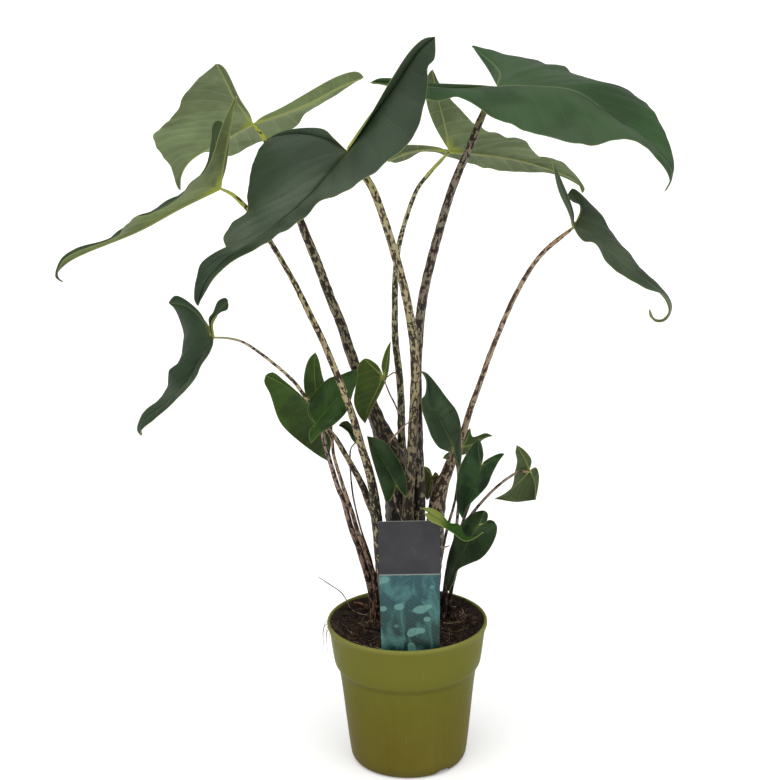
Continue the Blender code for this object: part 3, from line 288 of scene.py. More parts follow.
# Each blade's tip and junction, and the lines between them, as in the CAD model: the midrib,
# and on each side the lobe's rib, the outer edge and the sinus edge
BLADES = {
    "front": dict(
        tip=(-192, -165, 545), junction=(-52, -70, 670),
        midrib=[
            (-184, -160, 566), (-164, -145, 585), (-133, -122, 601), (-95, -95, 626),
            (-69, -77, 652),
        ],
        left_tip=(33, -52, 775),
        left_rib=[(-34, -62, 695), (-7, -55, 729), (18, -52, 763)],
        left_edge=[
            (-170, -165, 577), (-123, -155, 604), (-93, -142, 620), (-77, -130, 635),
            (-54, -118, 640), (-8, -92, 669), (9, -80, 682), (21, -68, 708), (25, -60, 732),
            (26, -56, 748), (32, -54, 754),
        ],
        left_sinus=[(23, -54, 774), (10, -58, 764), (-10, -64, 736), (-30, -72, 704)],
        right_tip=(-133, 30, 667),
        right_rib=[(-74, -36, 677), (-101, 0, 676)],
        right_edge=[
            (-195, -160, 551), (-188, -138, 580), (-167, -118, 587), (-170, -108, 596),
            (-164, -98, 606), (-149, -78, 616), (-149, -62, 628), (-147, -35, 645), (-142, 0, 659),
        ],
        right_sinus=[(-116, 20, 676), (-77, -20, 684), (-65, -46, 679)],
    ),
    "left": dict(
        tip=(-332, -62, 544), junction=(-177, -48, 633),
        midrib=[(-339, -62, 551), (-327, -62, 565), (-254, -60, 596), (-215, -55, 616)],
        left_tip=(-155, -84, 727),
        left_rib=[(-172, -62, 658), (-160, -80, 708)],
        left_edge=[
            (-335, -70, 555), (-325, -74, 572), (-287, -80, 588), (-273, -88, 595),
            (-256, -100, 616), (-244, -98, 617), (-210, -102, 634), (-199, -106, 651),
            (-184, -106, 661), (-166, -92, 706),
        ],
        left_sinus=[(-154, -82, 719), (-162, -74, 701), (-165, -66, 675), (-170, -55, 651)],
        right_tip=(-186, 14, 685),
        right_rib=[(-183, -8, 668)],
        right_edge=[
            (-339, -54, 553), (-331, -48, 568), (-316, -42, 575), (-293, -36, 578),
            (-277, -24, 587), (-254, -14, 598), (-235, -8, 610), (-215, 0, 620), (-197, 8, 638),
            (-189, 14, 659),
        ],
        right_sinus=[(-181, 8, 689), (-174, -6, 688), (-176, -20, 665)],
    ),
    "back_left": dict(
        tip=(-236, 148, 593), junction=(-150, 80, 675),
        midrib=[(-234, 144, 609), (-222, 132, 628), (-169, 92, 663)],
        left_tip=(-179, 5, 746),
        left_rib=[(-166, 46, 706), (-171, 26, 723)],
        left_edge=[
            (-238, 140, 601), (-241, 126, 621), (-253, 96, 649), (-252, 78, 664), (-241, 66, 676),
            (-225, 56, 691), (-219, 48, 705), (-208, 38, 719),
        ],
        left_sinus=[(-173, 8, 742), (-160, 48, 703), (-153, 66, 687)],
        right_tip=(-36, 46, 725),
        right_rib=[(-120, 72, 685), (-91, 62, 697), (-62, 54, 713)],
        right_edge=[
            (-235, 152, 605), (-226, 152, 621), (-210, 150, 632), (-178, 142, 631),
            (-153, 134, 643), (-130, 124, 653), (-108, 108, 665), (-99, 96, 679), (-62, 64, 706),
        ],
        right_sinus=[(-42, 44, 730), (-60, 50, 726), (-120, 68, 692), (-140, 74, 682)],
    ),
    "right": dict(
        tip=(258, -30, 618), junction=(96, 30, 716),
        midrib=[(265, -27, 633), (261, -22, 646), (206, 2, 690), (172, 16, 712), (134, 26, 716)],
        left_tip=(76, 140, 743),
        left_rib=[(101, 66, 725)],
        left_edge=[
            (267, -20, 642), (249, 44, 693), (239, 56, 698), (228, 70, 705), (205, 88, 710),
            (180, 100, 717), (171, 108, 722), (151, 116, 726), (134, 122, 731), (110, 130, 734),
            (95, 136, 738),
        ],
        left_sinus=[(82, 124, 735), (90, 92, 725)],
        right_tip=(-29, -22, 729),
        right_rib=[(61, 18, 715), (0, -10, 725)],
        right_edge=[
            (261, -33, 631), (224, -54, 673), (180, -62, 672), (130, -58, 682), (98, -44, 692),
            (84, -34, 699), (53, -20, 713), (33, -20, 710), (-12, -24, 725),
        ],
        right_sinus=[(-20, -18, 732), (29, 8, 723), (64, 22, 719)],
    ),
    "back_right": dict(
        tip=(196, 150, 583), junction=(50, 85, 642),
        midrib=[(189, 146, 597), (142, 130, 619), (104, 112, 631)],
        left_tip=(-13, 128, 625),
        left_rib=[(31, 98, 642), (8, 115, 636)],
        left_edge=[
            (193, 155, 589), (163, 160, 602), (112, 150, 607), (61, 124, 625), (42, 122, 633),
            (23, 126, 634), (5, 132, 624), (-5, 132, 622),
        ],
        left_sinus=[(-12, 122, 632), (0, 112, 643), (39, 90, 645)],
        right_tip=(32, 15, 736),
        right_rib=[(46, 66, 669), (39, 44, 699)],
        right_edge=[
            (196, 142, 590), (168, 118, 624), (143, 102, 632), (128, 88, 650), (102, 76, 659),
            (81, 64, 670), (70, 52, 679), (39, 22, 720),
        ],
        right_sinus=[(27, 18, 728), (26, 36, 702), (34, 58, 674)],
    ),
    "low_right": dict(
        tip=(239, -66, 509), junction=(170, -20, 583),
        midrib=[
            (244, -66, 499), (253, -64, 497), (261, -60, 504), (259, -55, 515), (247, -48, 528),
            (224, -38, 544), (181, -22, 577),
        ],
        left_tip=(173, 36, 611),
        left_rib=[(177, 2, 592), (179, 20, 601)],
        left_edge=[
            (242, -62, 500), (253, -58, 496), (263, -54, 504), (263, -46, 513), (236, -18, 541),
            (210, 6, 572), (199, 18, 588), (179, 34, 607),
        ],
        left_sinus=[(168, 34, 603), (173, 28, 598), (179, 16, 597), (177, -4, 590)],
        right_tip=(147, -34, 652),
        right_rib=[(165, -24, 603), (156, -30, 624)],
        right_edge=[
            (245, -70, 498), (255, -70, 499), (260, -68, 510), (252, -66, 524), (235, -64, 530),
            (201, -54, 552), (187, -46, 572), (177, -42, 573), (169, -38, 583), (162, -38, 601),
            (152, -40, 624), (148, -38, 641),
        ],
        right_sinus=[(169, -22, 598)],
    ),
    "low_left": dict(
        tip=(-260, -92, 396), junction=(-188, -70, 489),
        midrib=[(-260, -90, 408), (-233, -84, 428), (-214, -80, 447)],
        left_tip=(-172, -52, 521),
        left_rib=[(-189, -67, 501), (-183, -60, 511)],
        left_edge=[
            (-258, -98, 404), (-234, -104, 425), (-202, -100, 458), (-198, -97, 467),
            (-191, -94, 476), (-186, -86, 486), (-187, -74, 494), (-188, -68, 505),
            (-180, -60, 511), (-173, -55, 513),
        ],
        left_sinus=[(-175, -52, 524), (-182, -56, 522), (-187, -62, 512), (-191, -66, 507)],
        right_tip=(-234, -30, 514),
        right_rib=[(-198, -60, 504), (-215, -44, 514)],
        right_edge=[
            (-264, -86, 400), (-262, -82, 409), (-257, -76, 417), (-244, -70, 425),
            (-235, -64, 438), (-233, -58, 451), (-225, -54, 458), (-218, -46, 484),
            (-228, -34, 510),
        ],
        right_sinus=[(-226, -32, 522), (-201, -56, 512), (-193, -66, 500)],
    ),
    "small_left": dict(
        tip=(-81, 34, 324), junction=(-88, 8, 388),
        midrib=[(-83, 26, 344), (-87, 17, 366)],
        left_tip=(-141, -2, 430),
        left_rib=[(-123, 0, 419)],
        left_edge=[
            (-91, 32, 331), (-121, 21, 361), (-130, 15, 376), (-138, 5, 408), (-143, 0, 422),
        ],
        left_sinus=[(-134, -3, 433), (-123, -2, 424), (-109, 1, 410), (-97, 5, 396)],
        right_tip=(-89, -22, 459),
        right_rib=[(-90, -1, 413), (-91, -12, 437)],
        right_edge=[
            (-78, 27, 338), (-75, 19, 361), (-75, 9, 386), (-78, 0, 408), (-83, -10, 430),
            (-86, -19, 450),
        ],
        right_sinus=[(-96, -20, 451), (-102, -10, 428), (-101, -3, 409), (-95, 4, 395)],
    ),
    "small_front": dict(
        tip=(-47, -14, 438), junction=(-90, -44, 390),
        midrib=[(-55, -20, 427)],
        left_tip=(-96, -32, 410),
        left_rib=[(-95, -38, 400)],
        left_edge=[(-55, -14, 436), (-65, -14, 432), (-77, -16, 429), (-94, -28, 414)],
        left_sinus=[(-98, -35, 404), (-96, -40, 396)],
        right_tip=(-95, -50, 371),
        right_rib=[(-93, -48, 380)],
        right_edge=[
            (-47, -16, 429), (-52, -22, 416), (-56, -28, 404), (-60, -36, 398), (-72, -46, 389),
            (-86, -50, 381),
        ],
        right_sinus=[(-97, -49, 379), (-95, -46, 386)],
    ),
    "small_middle": dict(
        tip=(-41, 26, 367), junction=(-21, 2, 426),
        midrib=[(-37, 18, 387), (-29, 10, 406)],
        left_tip=(-40, -6, 447),
        left_rib=[(-30, -1, 435)],
        left_edge=[(-48, 20, 379), (-52, 13, 395), (-50, 7, 412), (-46, -3, 440)],
        left_sinus=[(-35, -7, 446), (-27, -4, 439)],
        right_tip=(-13, -22, 469),
        right_rib=[(-18, -5, 438), (-16, -14, 453)],
        right_edge=[(-35, 18, 382), (-21, 5, 414), (-16, -3, 431)],
        right_sinus=[(-17, -20, 462), (-21, -14, 450), (-23, -5, 437)],
    ),
    "small_leaning": dict(
        tip=(-39, -6, 364), junction=(-10, -22, 317),
        midrib=[(-31, -10, 351), (-20, -16, 335)],
        left_tip=(-20, -32, 300),
        left_rib=[(-15, -27, 308)],
        left_edge=[(-35, -17, 347), (-22, -33, 306)],
        left_sinus=[(-15, -30, 304), (-11, -26, 312)],
        right_tip=(1, -22, 303),
        right_rib=[(-4, -22, 309)],
        right_edge=[(-30, -4, 361), (-19, -4, 355), (-3, -12, 331), (1, -17, 315)],
        right_sinus=[(-4, -24, 307), (-8, -24, 314)],
    ),
    "tiny_left": dict(
        tip=(-68, 6, 372), junction=(-49, -6, 359),
        midrib=[(-61, 3, 371), (-55, -2, 365)],
        left_tip=(-42, -8, 351),
        left_rib=[(-45, -7, 355)],
        left_edge=[(-63, -1, 371), (-58, -6, 368), (-54, -9, 361), (-48, -10, 355)],
        left_sinus=[(-43, -7, 354)],
        right_tip=(-45, -6, 364),
        right_rib=[(-46, -6, 361)],
        right_edge=[(-65, 7, 375), (-59, 5, 377), (-50, -3, 369)],
        right_sinus=[(-45, -6, 361)],
    ),
    "small_upright": dict(
        tip=(17, -10, 434), junction=(49, -26, 358),
        midrib=[(23, -2, 424), (26, -8, 407), (33, -14, 389)],
        left_tip=(41, -34, 356),
        left_rib=[(45, -30, 357)],
        left_edge=[
            (22, -10, 424), (21, -16, 411), (17, -22, 407), (18, -25, 395), (22, -28, 383),
            (27, -33, 370), (34, -35, 360),
        ],
        left_sinus=[(45, -31, 354)],
        right_tip=(55, -28, 335),
        right_rib=[(52, -27, 347)],
        right_edge=[
            (24, 0, 428), (33, 0, 417), (43, -2, 403), (53, -6, 390), (57, -11, 377),
            (57, -16, 359), (57, -22, 344),
        ],
        right_sinus=[(52, -29, 342), (49, -28, 350)],
    ),
    "small_forked": dict(
        tip=(58, -35, 282), junction=(76, -57, 347),
        midrib=[(60, -38, 297), (66, -45, 315), (72, -51, 332)],
        left_tip=(100, -49, 357),
        left_rib=[(87, -54, 352)],
        left_edge=[(62, -43, 297), (82, -57, 326), (87, -58, 339), (94, -54, 351)],
        left_sinus=[(95, -50, 358), (78, -56, 351)],
        right_tip=(73, -61, 378),
        right_rib=[(73, -59, 363)],
        right_edge=[(53, -32, 293), (53, -38, 332), (65, -54, 366)],
        right_sinus=[(76, -61, 372), (78, -58, 359)],
    ),
    "small_outer": dict(
        tip=(94, 28, 281), junction=(130, 12, 318),
        midrib=[(106, 26, 288)],
        left_tip=(115, -6, 352),
        left_rib=[(124, 4, 333)],
        left_edge=[(105, 22, 287), (112, 16, 299), (114, 10, 315), (116, 4, 331), (114, -1, 342)],
        left_sinus=[(123, -3, 345), (131, 4, 332)],
        right_tip=(138, 34, 277),
        right_rib=[(136, 22, 300)],
        right_edge=[(118, 39, 273), (129, 39, 274)],
        right_sinus=[(140, 28, 292), (140, 18, 311), (136, 12, 321)],
    ),
    "tiny_hidden": dict(
        tip=(93, 50, 344), junction=(60, 38, 336),
        midrib=[(84, 48, 343), (72, 43, 338)],
        left_tip=(40, 34, 325),
        left_rib=[(50, 36, 331)],
        left_edge=[(83, 52, 339), (75, 52, 330), (65, 50, 324), (54, 46, 323), (47, 40, 321)],
        left_sinus=[(43, 32, 330), (53, 34, 335)],
        right_tip=(69, 34, 358),
        right_rib=[(65, 36, 346)],
        right_edge=[(86, 46, 348), (72, 38, 347)],
        right_sinus=[(66, 34, 355), (61, 36, 344)],
    ),
    "small_low": dict(
        tip=(43, -42, 205), junction=(73, -54, 282),
        midrib=[(47, -46, 225), (64, -54, 267)],
        left_tip=(89, -46, 284),
        left_rib=[(81, -50, 283)],
        left_edge=[
            (48, -50, 220), (52, -56, 235), (64, -62, 244), (75, -64, 250), (84, -63, 260),
            (91, -57, 273), (92, -51, 280),
        ],
        left_sinus=[(84, -48, 286), (78, -52, 283)],
        right_tip=(80, -42, 294),
        right_rib=[(77, -48, 288)],
        right_edge=[
            (40, -34, 213), (41, -28, 228), (46, -26, 249), (55, -26, 270), (66, -30, 285),
            (74, -36, 291),
        ],
        right_sinus=[(83, -43, 291), (82, -48, 285), (77, -52, 282)],
    ),
    "young": dict(
        tip=(77, -76, 284), junction=(24, -78, 304),
        midrib=[(63, -78, 277), (49, -80, 287), (37, -80, 296)],
        left_tip=(15, -76, 310),
        left_rib=[(20, -77, 308)],
        left_edge=[
            (68, -74, 278), (60, -72, 278), (52, -72, 291), (44, -72, 292), (34, -72, 303),
            (24, -73, 309),
        ],
        left_sinus=[(18, -77, 308)],
        right_tip=(17, -82, 307),
        right_rib=[(21, -80, 306)],
        right_edge=[(69, -80, 279), (58, -84, 277), (45, -88, 288), (33, -89, 296), (23, -86, 300)],
        right_sinus=[(21, -81, 304)],
    ),
    "tiny_back": dict(
        tip=(23, 40, 276), junction=(29, 28, 308),
        midrib=[(26, 35, 292)],
        left_tip=(20, 24, 320),
        left_rib=[(24, 25, 315)],
        left_edge=[(20, 38, 284), (18, 29, 310)],
        left_sinus=[(25, 23, 318)],
        right_tip=(36, 24, 309),
        right_rib=[(34, 25, 310)],
        right_edge=[(28, 37, 282), (36, 27, 303)],
        right_sinus=[(32, 24, 313)],
    ),
}
# Each stem's path runs down from its blade to its root in the soil, with radii by fraction
STEMS = {
    "front": dict(
        path=[
            (-42, -69, 654), (-35, -67, 644), (-28, -64, 631), (-1, -40, 536), (9, -25, 476),
            (11, -20, 443), (10, -15, 405), (7, -12, 350), (3, -8, 294),
        ],
        root=(-3, 2),
        radii=[(0, 1.5), (0.05, 3.6), (0.1, 3.9), (0.3, 4.4), (0.5, 4.8), (0.8, 5.6), (1, 6)],
    ),
    "left": dict(
        path=[
            (-165, -47, 626), (-153, -46, 614), (-138, -44, 592), (-109, -42, 539),
            (-95, -42, 508), (-81, -43, 477), (-71, -44, 451), (-60, -43, 420), (-51, -39, 390),
            (-44, -31, 359), (-37, -22, 330), (-32, -11, 296),
        ],
        root=(-21, 9),
        radii=[
            (0, 1.2), (0.04, 2.4), (0.2, 2.7), (0.3, 3.3), (0.5, 3.7), (0.7, 4.4), (0.85, 5.2),
            (1, 5.5),
        ],
    ),
    "back_left": dict(
        path=[
            (-138, 77, 657), (-120, 73, 616), (-99, 67, 560), (-87, 63, 529), (-76, 60, 497),
            (-64, 56, 466), (-56, 53, 439), (-37, 47, 383), (-17, 38, 317), (-10, 33, 280),
        ],
        root=(-9, 27),
        radii=[
            (0, 1.5), (0.04, 3), (0.25, 4.5), (0.5, 5.2), (0.6, 6), (0.68, 9), (0.8, 10), (0.9, 9),
            (1, 8),
        ],
    ),
    "right": dict(
        path=[
            (80, 22, 685), (72, 17, 666), (50, 9, 616), (24, 2, 526), (18, 0, 495), (15, -1, 464),
            (13, -2, 438), (13, -1, 346), (14, 2, 290),
        ],
        root=(9, 12),
        radii=[(0, 1.8), (0.03, 3.4), (0.15, 4), (0.3, 4.6), (0.5, 5.2), (0.8, 6), (1, 6.5)],
    ),
    "back_right": dict(
        path=[
            (39, 81, 630), (27, 75, 618), (16, 70, 604), (-3, 55, 550), (-7, 52, 519),
            (-8, 46, 451), (-5, 43, 420), (-3, 46, 386), (-3, 48, 341), (-1, 48, 285),
        ],
        root=(8, 41),
        radii=[(0, 1.2), (0.03, 2), (0.15, 2.4), (0.25, 3), (0.4, 3.6), (0.7, 4.3), (1, 5.2)],
    ),
    "low_right": dict(
        path=[
            (142, -14, 558), (130, -10, 542), (113, -4, 510), (90, 5, 451), (79, 10, 417),
            (68, 14, 384), (61, 17, 359), (51, 18, 334), (44, 18, 315), (36, 16, 294),
            (32, 14, 269),
        ],
        root=(25, 13),
        radii=[
            (0, 1.2), (0.03, 2.2), (0.2, 2.6), (0.4, 2.9), (0.55, 3.7), (0.62, 5.5), (0.7, 8),
            (0.78, 8.3), (0.9, 7.5), (1, 6.5),
        ],
    ),
    "low_left": dict(
        path=[
            (-173, -67, 487), (-160, -62, 482), (-146, -56, 471), (-113, -31, 433),
            (-102, -18, 413), (-90, -14, 394), (-80, -11, 376), (-70, -8, 361), (-61, -5, 343),
            (-45, 5, 307), (-39, 10, 288), (-33, 14, 270),
        ],
        root=(-24, 27),
        radii=[(0, 1), (0.1, 1.4), (0.3, 1.9), (0.5, 2.8), (0.7, 4), (0.85, 4.8), (1, 4.5)],
    ),
    "small_left": dict(
        path=[
            (-85, 4, 368), (-82, 5, 350), (-76, 6, 326), (-71, 8, 306), (-65, 9, 289),
            (-57, 13, 254), (-51, 16, 236), (-46, 18, 218), (-37, 23, 179),
        ],
        root=(-35, 24),
        radii=[(0, 1.2), (0.1, 2.2), (0.5, 2.7), (1, 2.8)],
    ),
    "small_front": dict(
        path=[
            (-81, -36, 382), (-75, -31, 372), (-73, -25, 350), (-65, -13, 314), (-55, -2, 276),
            (-51, 2, 258), (-45, 5, 240), (-34, 11, 200), (-32, 13, 183),
        ],
        root=(-31, 15),
        radii=[(0, 0.8), (0.1, 1.6), (0.5, 2.1), (1, 2.4)],
    ),
    "small_middle": dict(
        path=[(-16, -5, 411), (-9, 4, 393), (-3, 13, 372), (0, 18, 350), (3, 22, 310)],
        root=(2, 22),
        radii=[(0, 0.7), (0.1, 0.9), (1, 1.2)],
    ),
    "small_leaning": dict(
        path=[(-12, -22, 305), (-10, -24, 294), (-4, -25, 279), (1, -23, 250)],
        root=(-2, -9),
        radii=[(0, 0.7), (0.1, 1), (1, 1.3)],
    ),
    "tiny_left": dict(
        path=[
            (-55, -2, 351), (-57, 6, 339), (-57, 9, 322), (-56, 8, 306), (-54, 8, 289),
            (-47, 10, 255), (-37, 14, 219), (-33, 21, 182),
        ],
        root=(-27, 19),
        radii=[(0, 0.6), (0.1, 0.9), (1, 1.2)],
    ),
    "small_upright": dict(
        path=[(53, -20, 337), (55, -11, 305), (54, -2, 275), (51, 5, 244), (41, 18, 182)],
        root=(33, 24),
        radii=[(0, 1), (0.1, 1.5), (1, 2)],
    ),
    "small_forked": dict(
        path=[(66, -30, 300), (56, -12, 261), (45, 4, 205), (42, 11, 183)],
        root=(38, 16),
        radii=[(0, 1), (0.1, 1.4), (1, 2)],
    ),
    "small_outer": dict(
        path=[
            (118, 4, 319), (111, 0, 317), (97, -2, 307), (81, 2, 289), (67, 11, 267),
            (57, 14, 248), (50, 17, 229), (44, 22, 206),
        ],
        root=(38, 35),
        radii=[(0, 1), (0.1, 1.4), (1, 2.2)],
    ),
    "tiny_hidden": dict(
        path=[(59, 41, 323), (53, 40, 276), (44, 36, 244), (36, 33, 205)],
        root=(24, 31),
        radii=[(0, 0.8), (0.1, 1.3), (1, 2)],
    ),
    "small_low": dict(
        path=[(62, -37, 256), (55, -21, 234), (51, -4, 209), (47, 12, 182)],
        root=(45, 27),
        radii=[(0, 1), (0.1, 1.5), (1, 2.2)],
    ),
    "young": dict(
        path=[(25, -69, 297), (25, -60, 287), (25, -47, 265), (24, -28, 230)],
        root=(24, -4),
        radii=[(0, 0.8), (0.1, 1.3), (1, 1.8)],
    ),
    "tiny_back": dict(
        path=[(28, 28, 290), (22, 27, 236)],
        root=(15, 25),
        radii=[(0, 0.8), (0.1, 1.3), (1, 2)],
    ),
}

# Blade colours of the upper and the under side, and how much painted grey sheen the upper side
# has. Where they differ from the usual, also the upper side's gloss (shine), the colour of its
# midrib (rib), how much its side veins show (veins) and how much of the painted sheen its lobes
# keep (lobes). Leaves with a patch get streaks of painted sheen and patches of painted fold shade,
# and it says how finely. The young leaf's lobes have a colour (base).
LEAF_LOOKS = {
    "front": dict(
        shine=0.22, top=(38, 55, 35), under=(98, 112, 68), rib=(24, 36, 22), veins=0.08,
        painted_sheen=0.75, lobes=0.2,
    ),
    "left": dict(shine=0.03, top=(44, 62, 32), under=(100, 113, 68), painted_sheen=0.3),
    "back_left": dict(top=(52, 66, 40), under=(104, 119, 78), painted_sheen=0.3),
    "right": dict(
        shine=0.22, top=(40, 68, 32), under=(98, 112, 74), rib=(100, 118, 78), veins=0.22,
        painted_sheen=0.32,
    ),
    "back_right": dict(top=(58, 74, 38), under=(94, 108, 72), painted_sheen=0.3),
    "low_right": dict(
        shine=0.22, top=(50, 66, 42), under=(88, 102, 68), veins=0.12, painted_sheen=0.6, lobes=0.3,
    ),
    "low_left": dict(
        shine=0.22, top=(40, 58, 36), under=(86, 100, 60), veins=0.12, painted_sheen=0.9, lobes=0.1,
    ),
    "small_left": dict(top=(40, 62, 18), under=(46, 70, 18), painted_sheen=0.4, patch=36.0),
    "small_front": dict(top=(34, 60, 14), under=(62, 82, 32), painted_sheen=0.4, patch=36.0),
    "small_middle": dict(top=(56, 75, 24), under=(60, 79, 27), painted_sheen=0.1),
    "small_leaning": dict(top=(28, 47, 20), under=(50, 66, 30), painted_sheen=0.4, patch=36.0),
    "tiny_left": dict(top=(48, 64, 32), under=(64, 80, 40), painted_sheen=0.1),
    "small_upright": dict(top=(38, 54, 33), under=(70, 84, 48), painted_sheen=0.35, patch=36.0),
    "small_forked": dict(top=(18, 44, 13), under=(50, 66, 32), painted_sheen=0.4, patch=36.0),
    "small_outer": dict(top=(54, 68, 34), under=(60, 74, 40), painted_sheen=0.3),
    "tiny_hidden": dict(top=(48, 68, 28), under=(54, 74, 32), painted_sheen=0.1),
    "small_low": dict(top=(26, 43, 18), under=(62, 78, 42), painted_sheen=0.4, patch=36.0),
    "young": dict(top=(34, 66, 8), under=(60, 84, 20), painted_sheen=0.1, base=(116, 126, 58)),
    "tiny_back": dict(top=(84, 92, 44), under=(92, 98, 52), painted_sheen=0.1),
}
# Stem colours at the neck and from blade to soil, the marks' colour, and the noise level above
# which marks show
PLAIN_STEM = dict(neck=(140, 122, 88), top=(142, 124, 108), low=(104, 84, 66),
                  mark=(44, 31, 23), bare=0.50)
STEM_LOOKS = {
    "front": dict(neck=(158, 154, 82), top=(160, 148, 112), low=(104, 92, 70),
                  mark=(46, 36, 20), bare=0.49),
    "left": dict(neck=(150, 156, 60), top=(164, 150, 110), low=(146, 134, 102),
                 mark=(42, 32, 16), bare=0.49),
    "back_left": dict(neck=(158, 166, 50), top=(142, 132, 102), low=(84, 72, 56),
                      mark=(36, 27, 20), bare=0.485),
    "right": dict(neck=(122, 116, 74), top=(124, 112, 96), low=(118, 106, 84),
                  mark=(36, 27, 20), bare=0.48),
    "back_right": dict(neck=(162, 166, 76), top=(166, 160, 124), low=(108, 100, 78),
                       mark=(44, 38, 20), bare=0.48),
    "low_right": dict(neck=(160, 130, 98), top=(156, 136, 114), low=(136, 122, 98),
                      mark=(62, 44, 31), bare=0.50),
    "low_left": dict(neck=(140, 138, 96), top=(168, 154, 124), low=(136, 120, 94),
                     mark=(50, 36, 22), bare=0.49),
    "small_left": dict(neck=(124, 112, 80), top=(156, 134, 120), low=(122, 94, 78),
                       mark=(44, 28, 20), bare=0.50),
    "small_front": dict(neck=(150, 124, 84), top=(148, 124, 98), low=(124, 96, 72),
                        mark=(52, 33, 21), bare=0.51),
}


def linear(colour):
    """Linear red, green, blue and alpha of an sRGB colour."""
    parts = []
    for part in colour:
        share = part / 255.0
        parts.append(share / 12.92 if share <= 0.04045 else ((share + 0.055) / 1.055) ** 2.4)
    return (*parts, 1.0)


def toned(colour, factor):
    return tuple(min(255.0, part * factor) for part in colour)


def blended(first, second, share):
    return tuple(a + (b - a) * share for a, b in zip(first, second))


class Finish:
    """A material being made: each call adds a node and gives its output socket."""

    def __init__(self, name, **levels):
        self.material = bpy.data.materials.new(name)
        self.material.use_nodes = True
        self.tree = self.material.node_tree
        self.shader = self.tree.nodes["Principled BSDF"]
        for socket, level in levels.items():
            self.feed(self.shader.inputs[socket.replace("_", " ")], level)

    def feed(self, socket, value):
        if isinstance(value, bpy.types.NodeSocket):
            self.tree.links.new(value, socket)
        else:
            socket.default_value = value

    def node(self, kind, inputs, **settings):
        made = self.tree.nodes.new("ShaderNode" + kind)
        for key, value in settings.items():
            setattr(made, key, value)
        for socket, value in inputs.items():
            self.feed(made.inputs[socket], value)
        return made

    def attribute(self, name, output="Vector"):
        return self.node("Attribute", {}, attribute_name=name).outputs[output]

    def place(self):
        return self.node("TexCoord", {}).outputs["Object"]

    def split(self, vector):
        return list(self.node("SeparateXYZ", {0: vector}).outputs)

    def stretch(self, vector, factors):
        return self.node("VectorMath", {0: vector, 1: factors}, operation="MULTIPLY").outputs[0]

    def noise(self, vector, scale, detail=2.0, roughness=0.5, distortion=0.0):
        inputs = {
            "Vector": vector, "Scale": scale, "Detail": detail, "Roughness": roughness,
            "Distortion": distortion,
        }
        return self.node("TexNoise", inputs).outputs[0]

    def cells(self, vector, scale, feature="F1"):
        inputs = {"Vector": vector, "Scale": scale}
        return self.node("TexVoronoi", inputs, feature=feature).outputs["Distance"]

    def math(self, operation, *values):
        return self.node("Math", dict(enumerate(values)), operation=operation).outputs[0]

    def step(self, value, low, high, start=0.0, end=1.0):
        inputs = dict(enumerate((value, low, high, start, end)))
        return self.node("MapRange", inputs, interpolation_type="SMOOTHSTEP").outputs[0]

    def fade(self, value, ends, start=0.0, end=1.0):
        """A step between two lengths that are given in millimetres."""
        return self.step(value, ends[0] * MM, ends[1] * MM, start, end)

    def distance(self, value, length):
        """How far a length in metres is from one that is given in millimetres."""
        return self.math("ABSOLUTE", self.math("SUBTRACT", value, length * MM))

    def mix(self, share, first, second):
        inputs = {0: share, 6: first, 7: second}
        return self.node("Mix", inputs, data_type="RGBA").outputs[2]

    def between(self, share, first, second):
        """Colour between two sRGB colours or colour sockets."""
        ends = [linear(end) if isinstance(end, tuple) else end for end in (first, second)]
        return self.mix(share, *ends)

    def layered(self, ground, *layers):
        """The ground under layers, each given by its share and its colour."""
        for share, colour in layers:
            ground = self.between(share, ground, colour)
        return ground

    def stripes(self, phase):
        """Distance to the nearest whole number, from 0 to 0.5."""
        shifted = self.math("FRACT", self.math("ADD", phase, 0.5))
        return self.math("ABSOLUTE", self.math("SUBTRACT", shifted, 0.5))

    def bump(self, height, distance, strength=1.0):
        inputs = {"Height": height, "Distance": distance, "Strength": strength}
        self.feed(self.shader.inputs["Normal"], self.node("Bump", inputs).outputs["Normal"])

    def done(self, colour, roughness=None):
        self.feed(self.shader.inputs["Base Color"], colour)
        if roughness is not None:
            self.feed(self.shader.inputs["Roughness"], roughness)
        return self.material


def leaf_ground(finish, look, side, colour, along):
    """A blade's own green with soft patches and painted grey sheen; some leaves get painted shade
    of folds, and undersides get painted shade in their hollows.
    """
    place = finish.place()
    patches = finish.noise(place, 22.0, 3.0)
    dark, light = toned(colour, 0.9), toned(colour, 1.12)
    ground = finish.between(finish.step(patches, 0.35, 0.66), dark, light)
    # Painted sheen: broad patches blended towards a lighter grey tone, fewer on the lobes
    painted_sheen = finish.noise(place, look.get("patch", PLAIN_PATCH), 2.0, 0.5, 0.6)
    most = look["painted_sheen"] if side is UPPER_SIDE else UNDER_SHEEN
    sheen_share = finish.step(painted_sheen, 0.40, 0.62, 0.0, most)
    lobe_share = finish.step(along, 0.72, 1.02, 1.0, look.get("lobes", 1.0))
    tint = blended(colour, STREAKED_SHEEN_TINT if "patch" in look else PAINTED_SHEEN_TINT, side["painted_sheen"])
    ground = finish.between(finish.math("MULTIPLY", sheen_share, lobe_share), ground, tint)
    # Painted shade of folds: dark patches on leaves with streaks of painted sheen
    if "patch" in look:
        painted_fold_shade = finish.noise(place, 0.7 * look["patch"], 3.0, 0.5, 1.0)
        share = finish.step(painted_fold_shade, 0.48, 0.62, 0.0, 0.55)
        ground = finish.between(share, ground, toned(colour, 0.6))
    # Painted shade in the hollows of the underside
    if side is UNDER_SIDE:
        painted_hollow_shade = finish.noise(place, 30.0, 2.0, 0.5, 0.8)
        share = finish.step(painted_hollow_shade, 0.5, 0.68, 0.0, 0.4)
        ground = finish.between(share, ground, toned(colour, 0.72))
    return ground


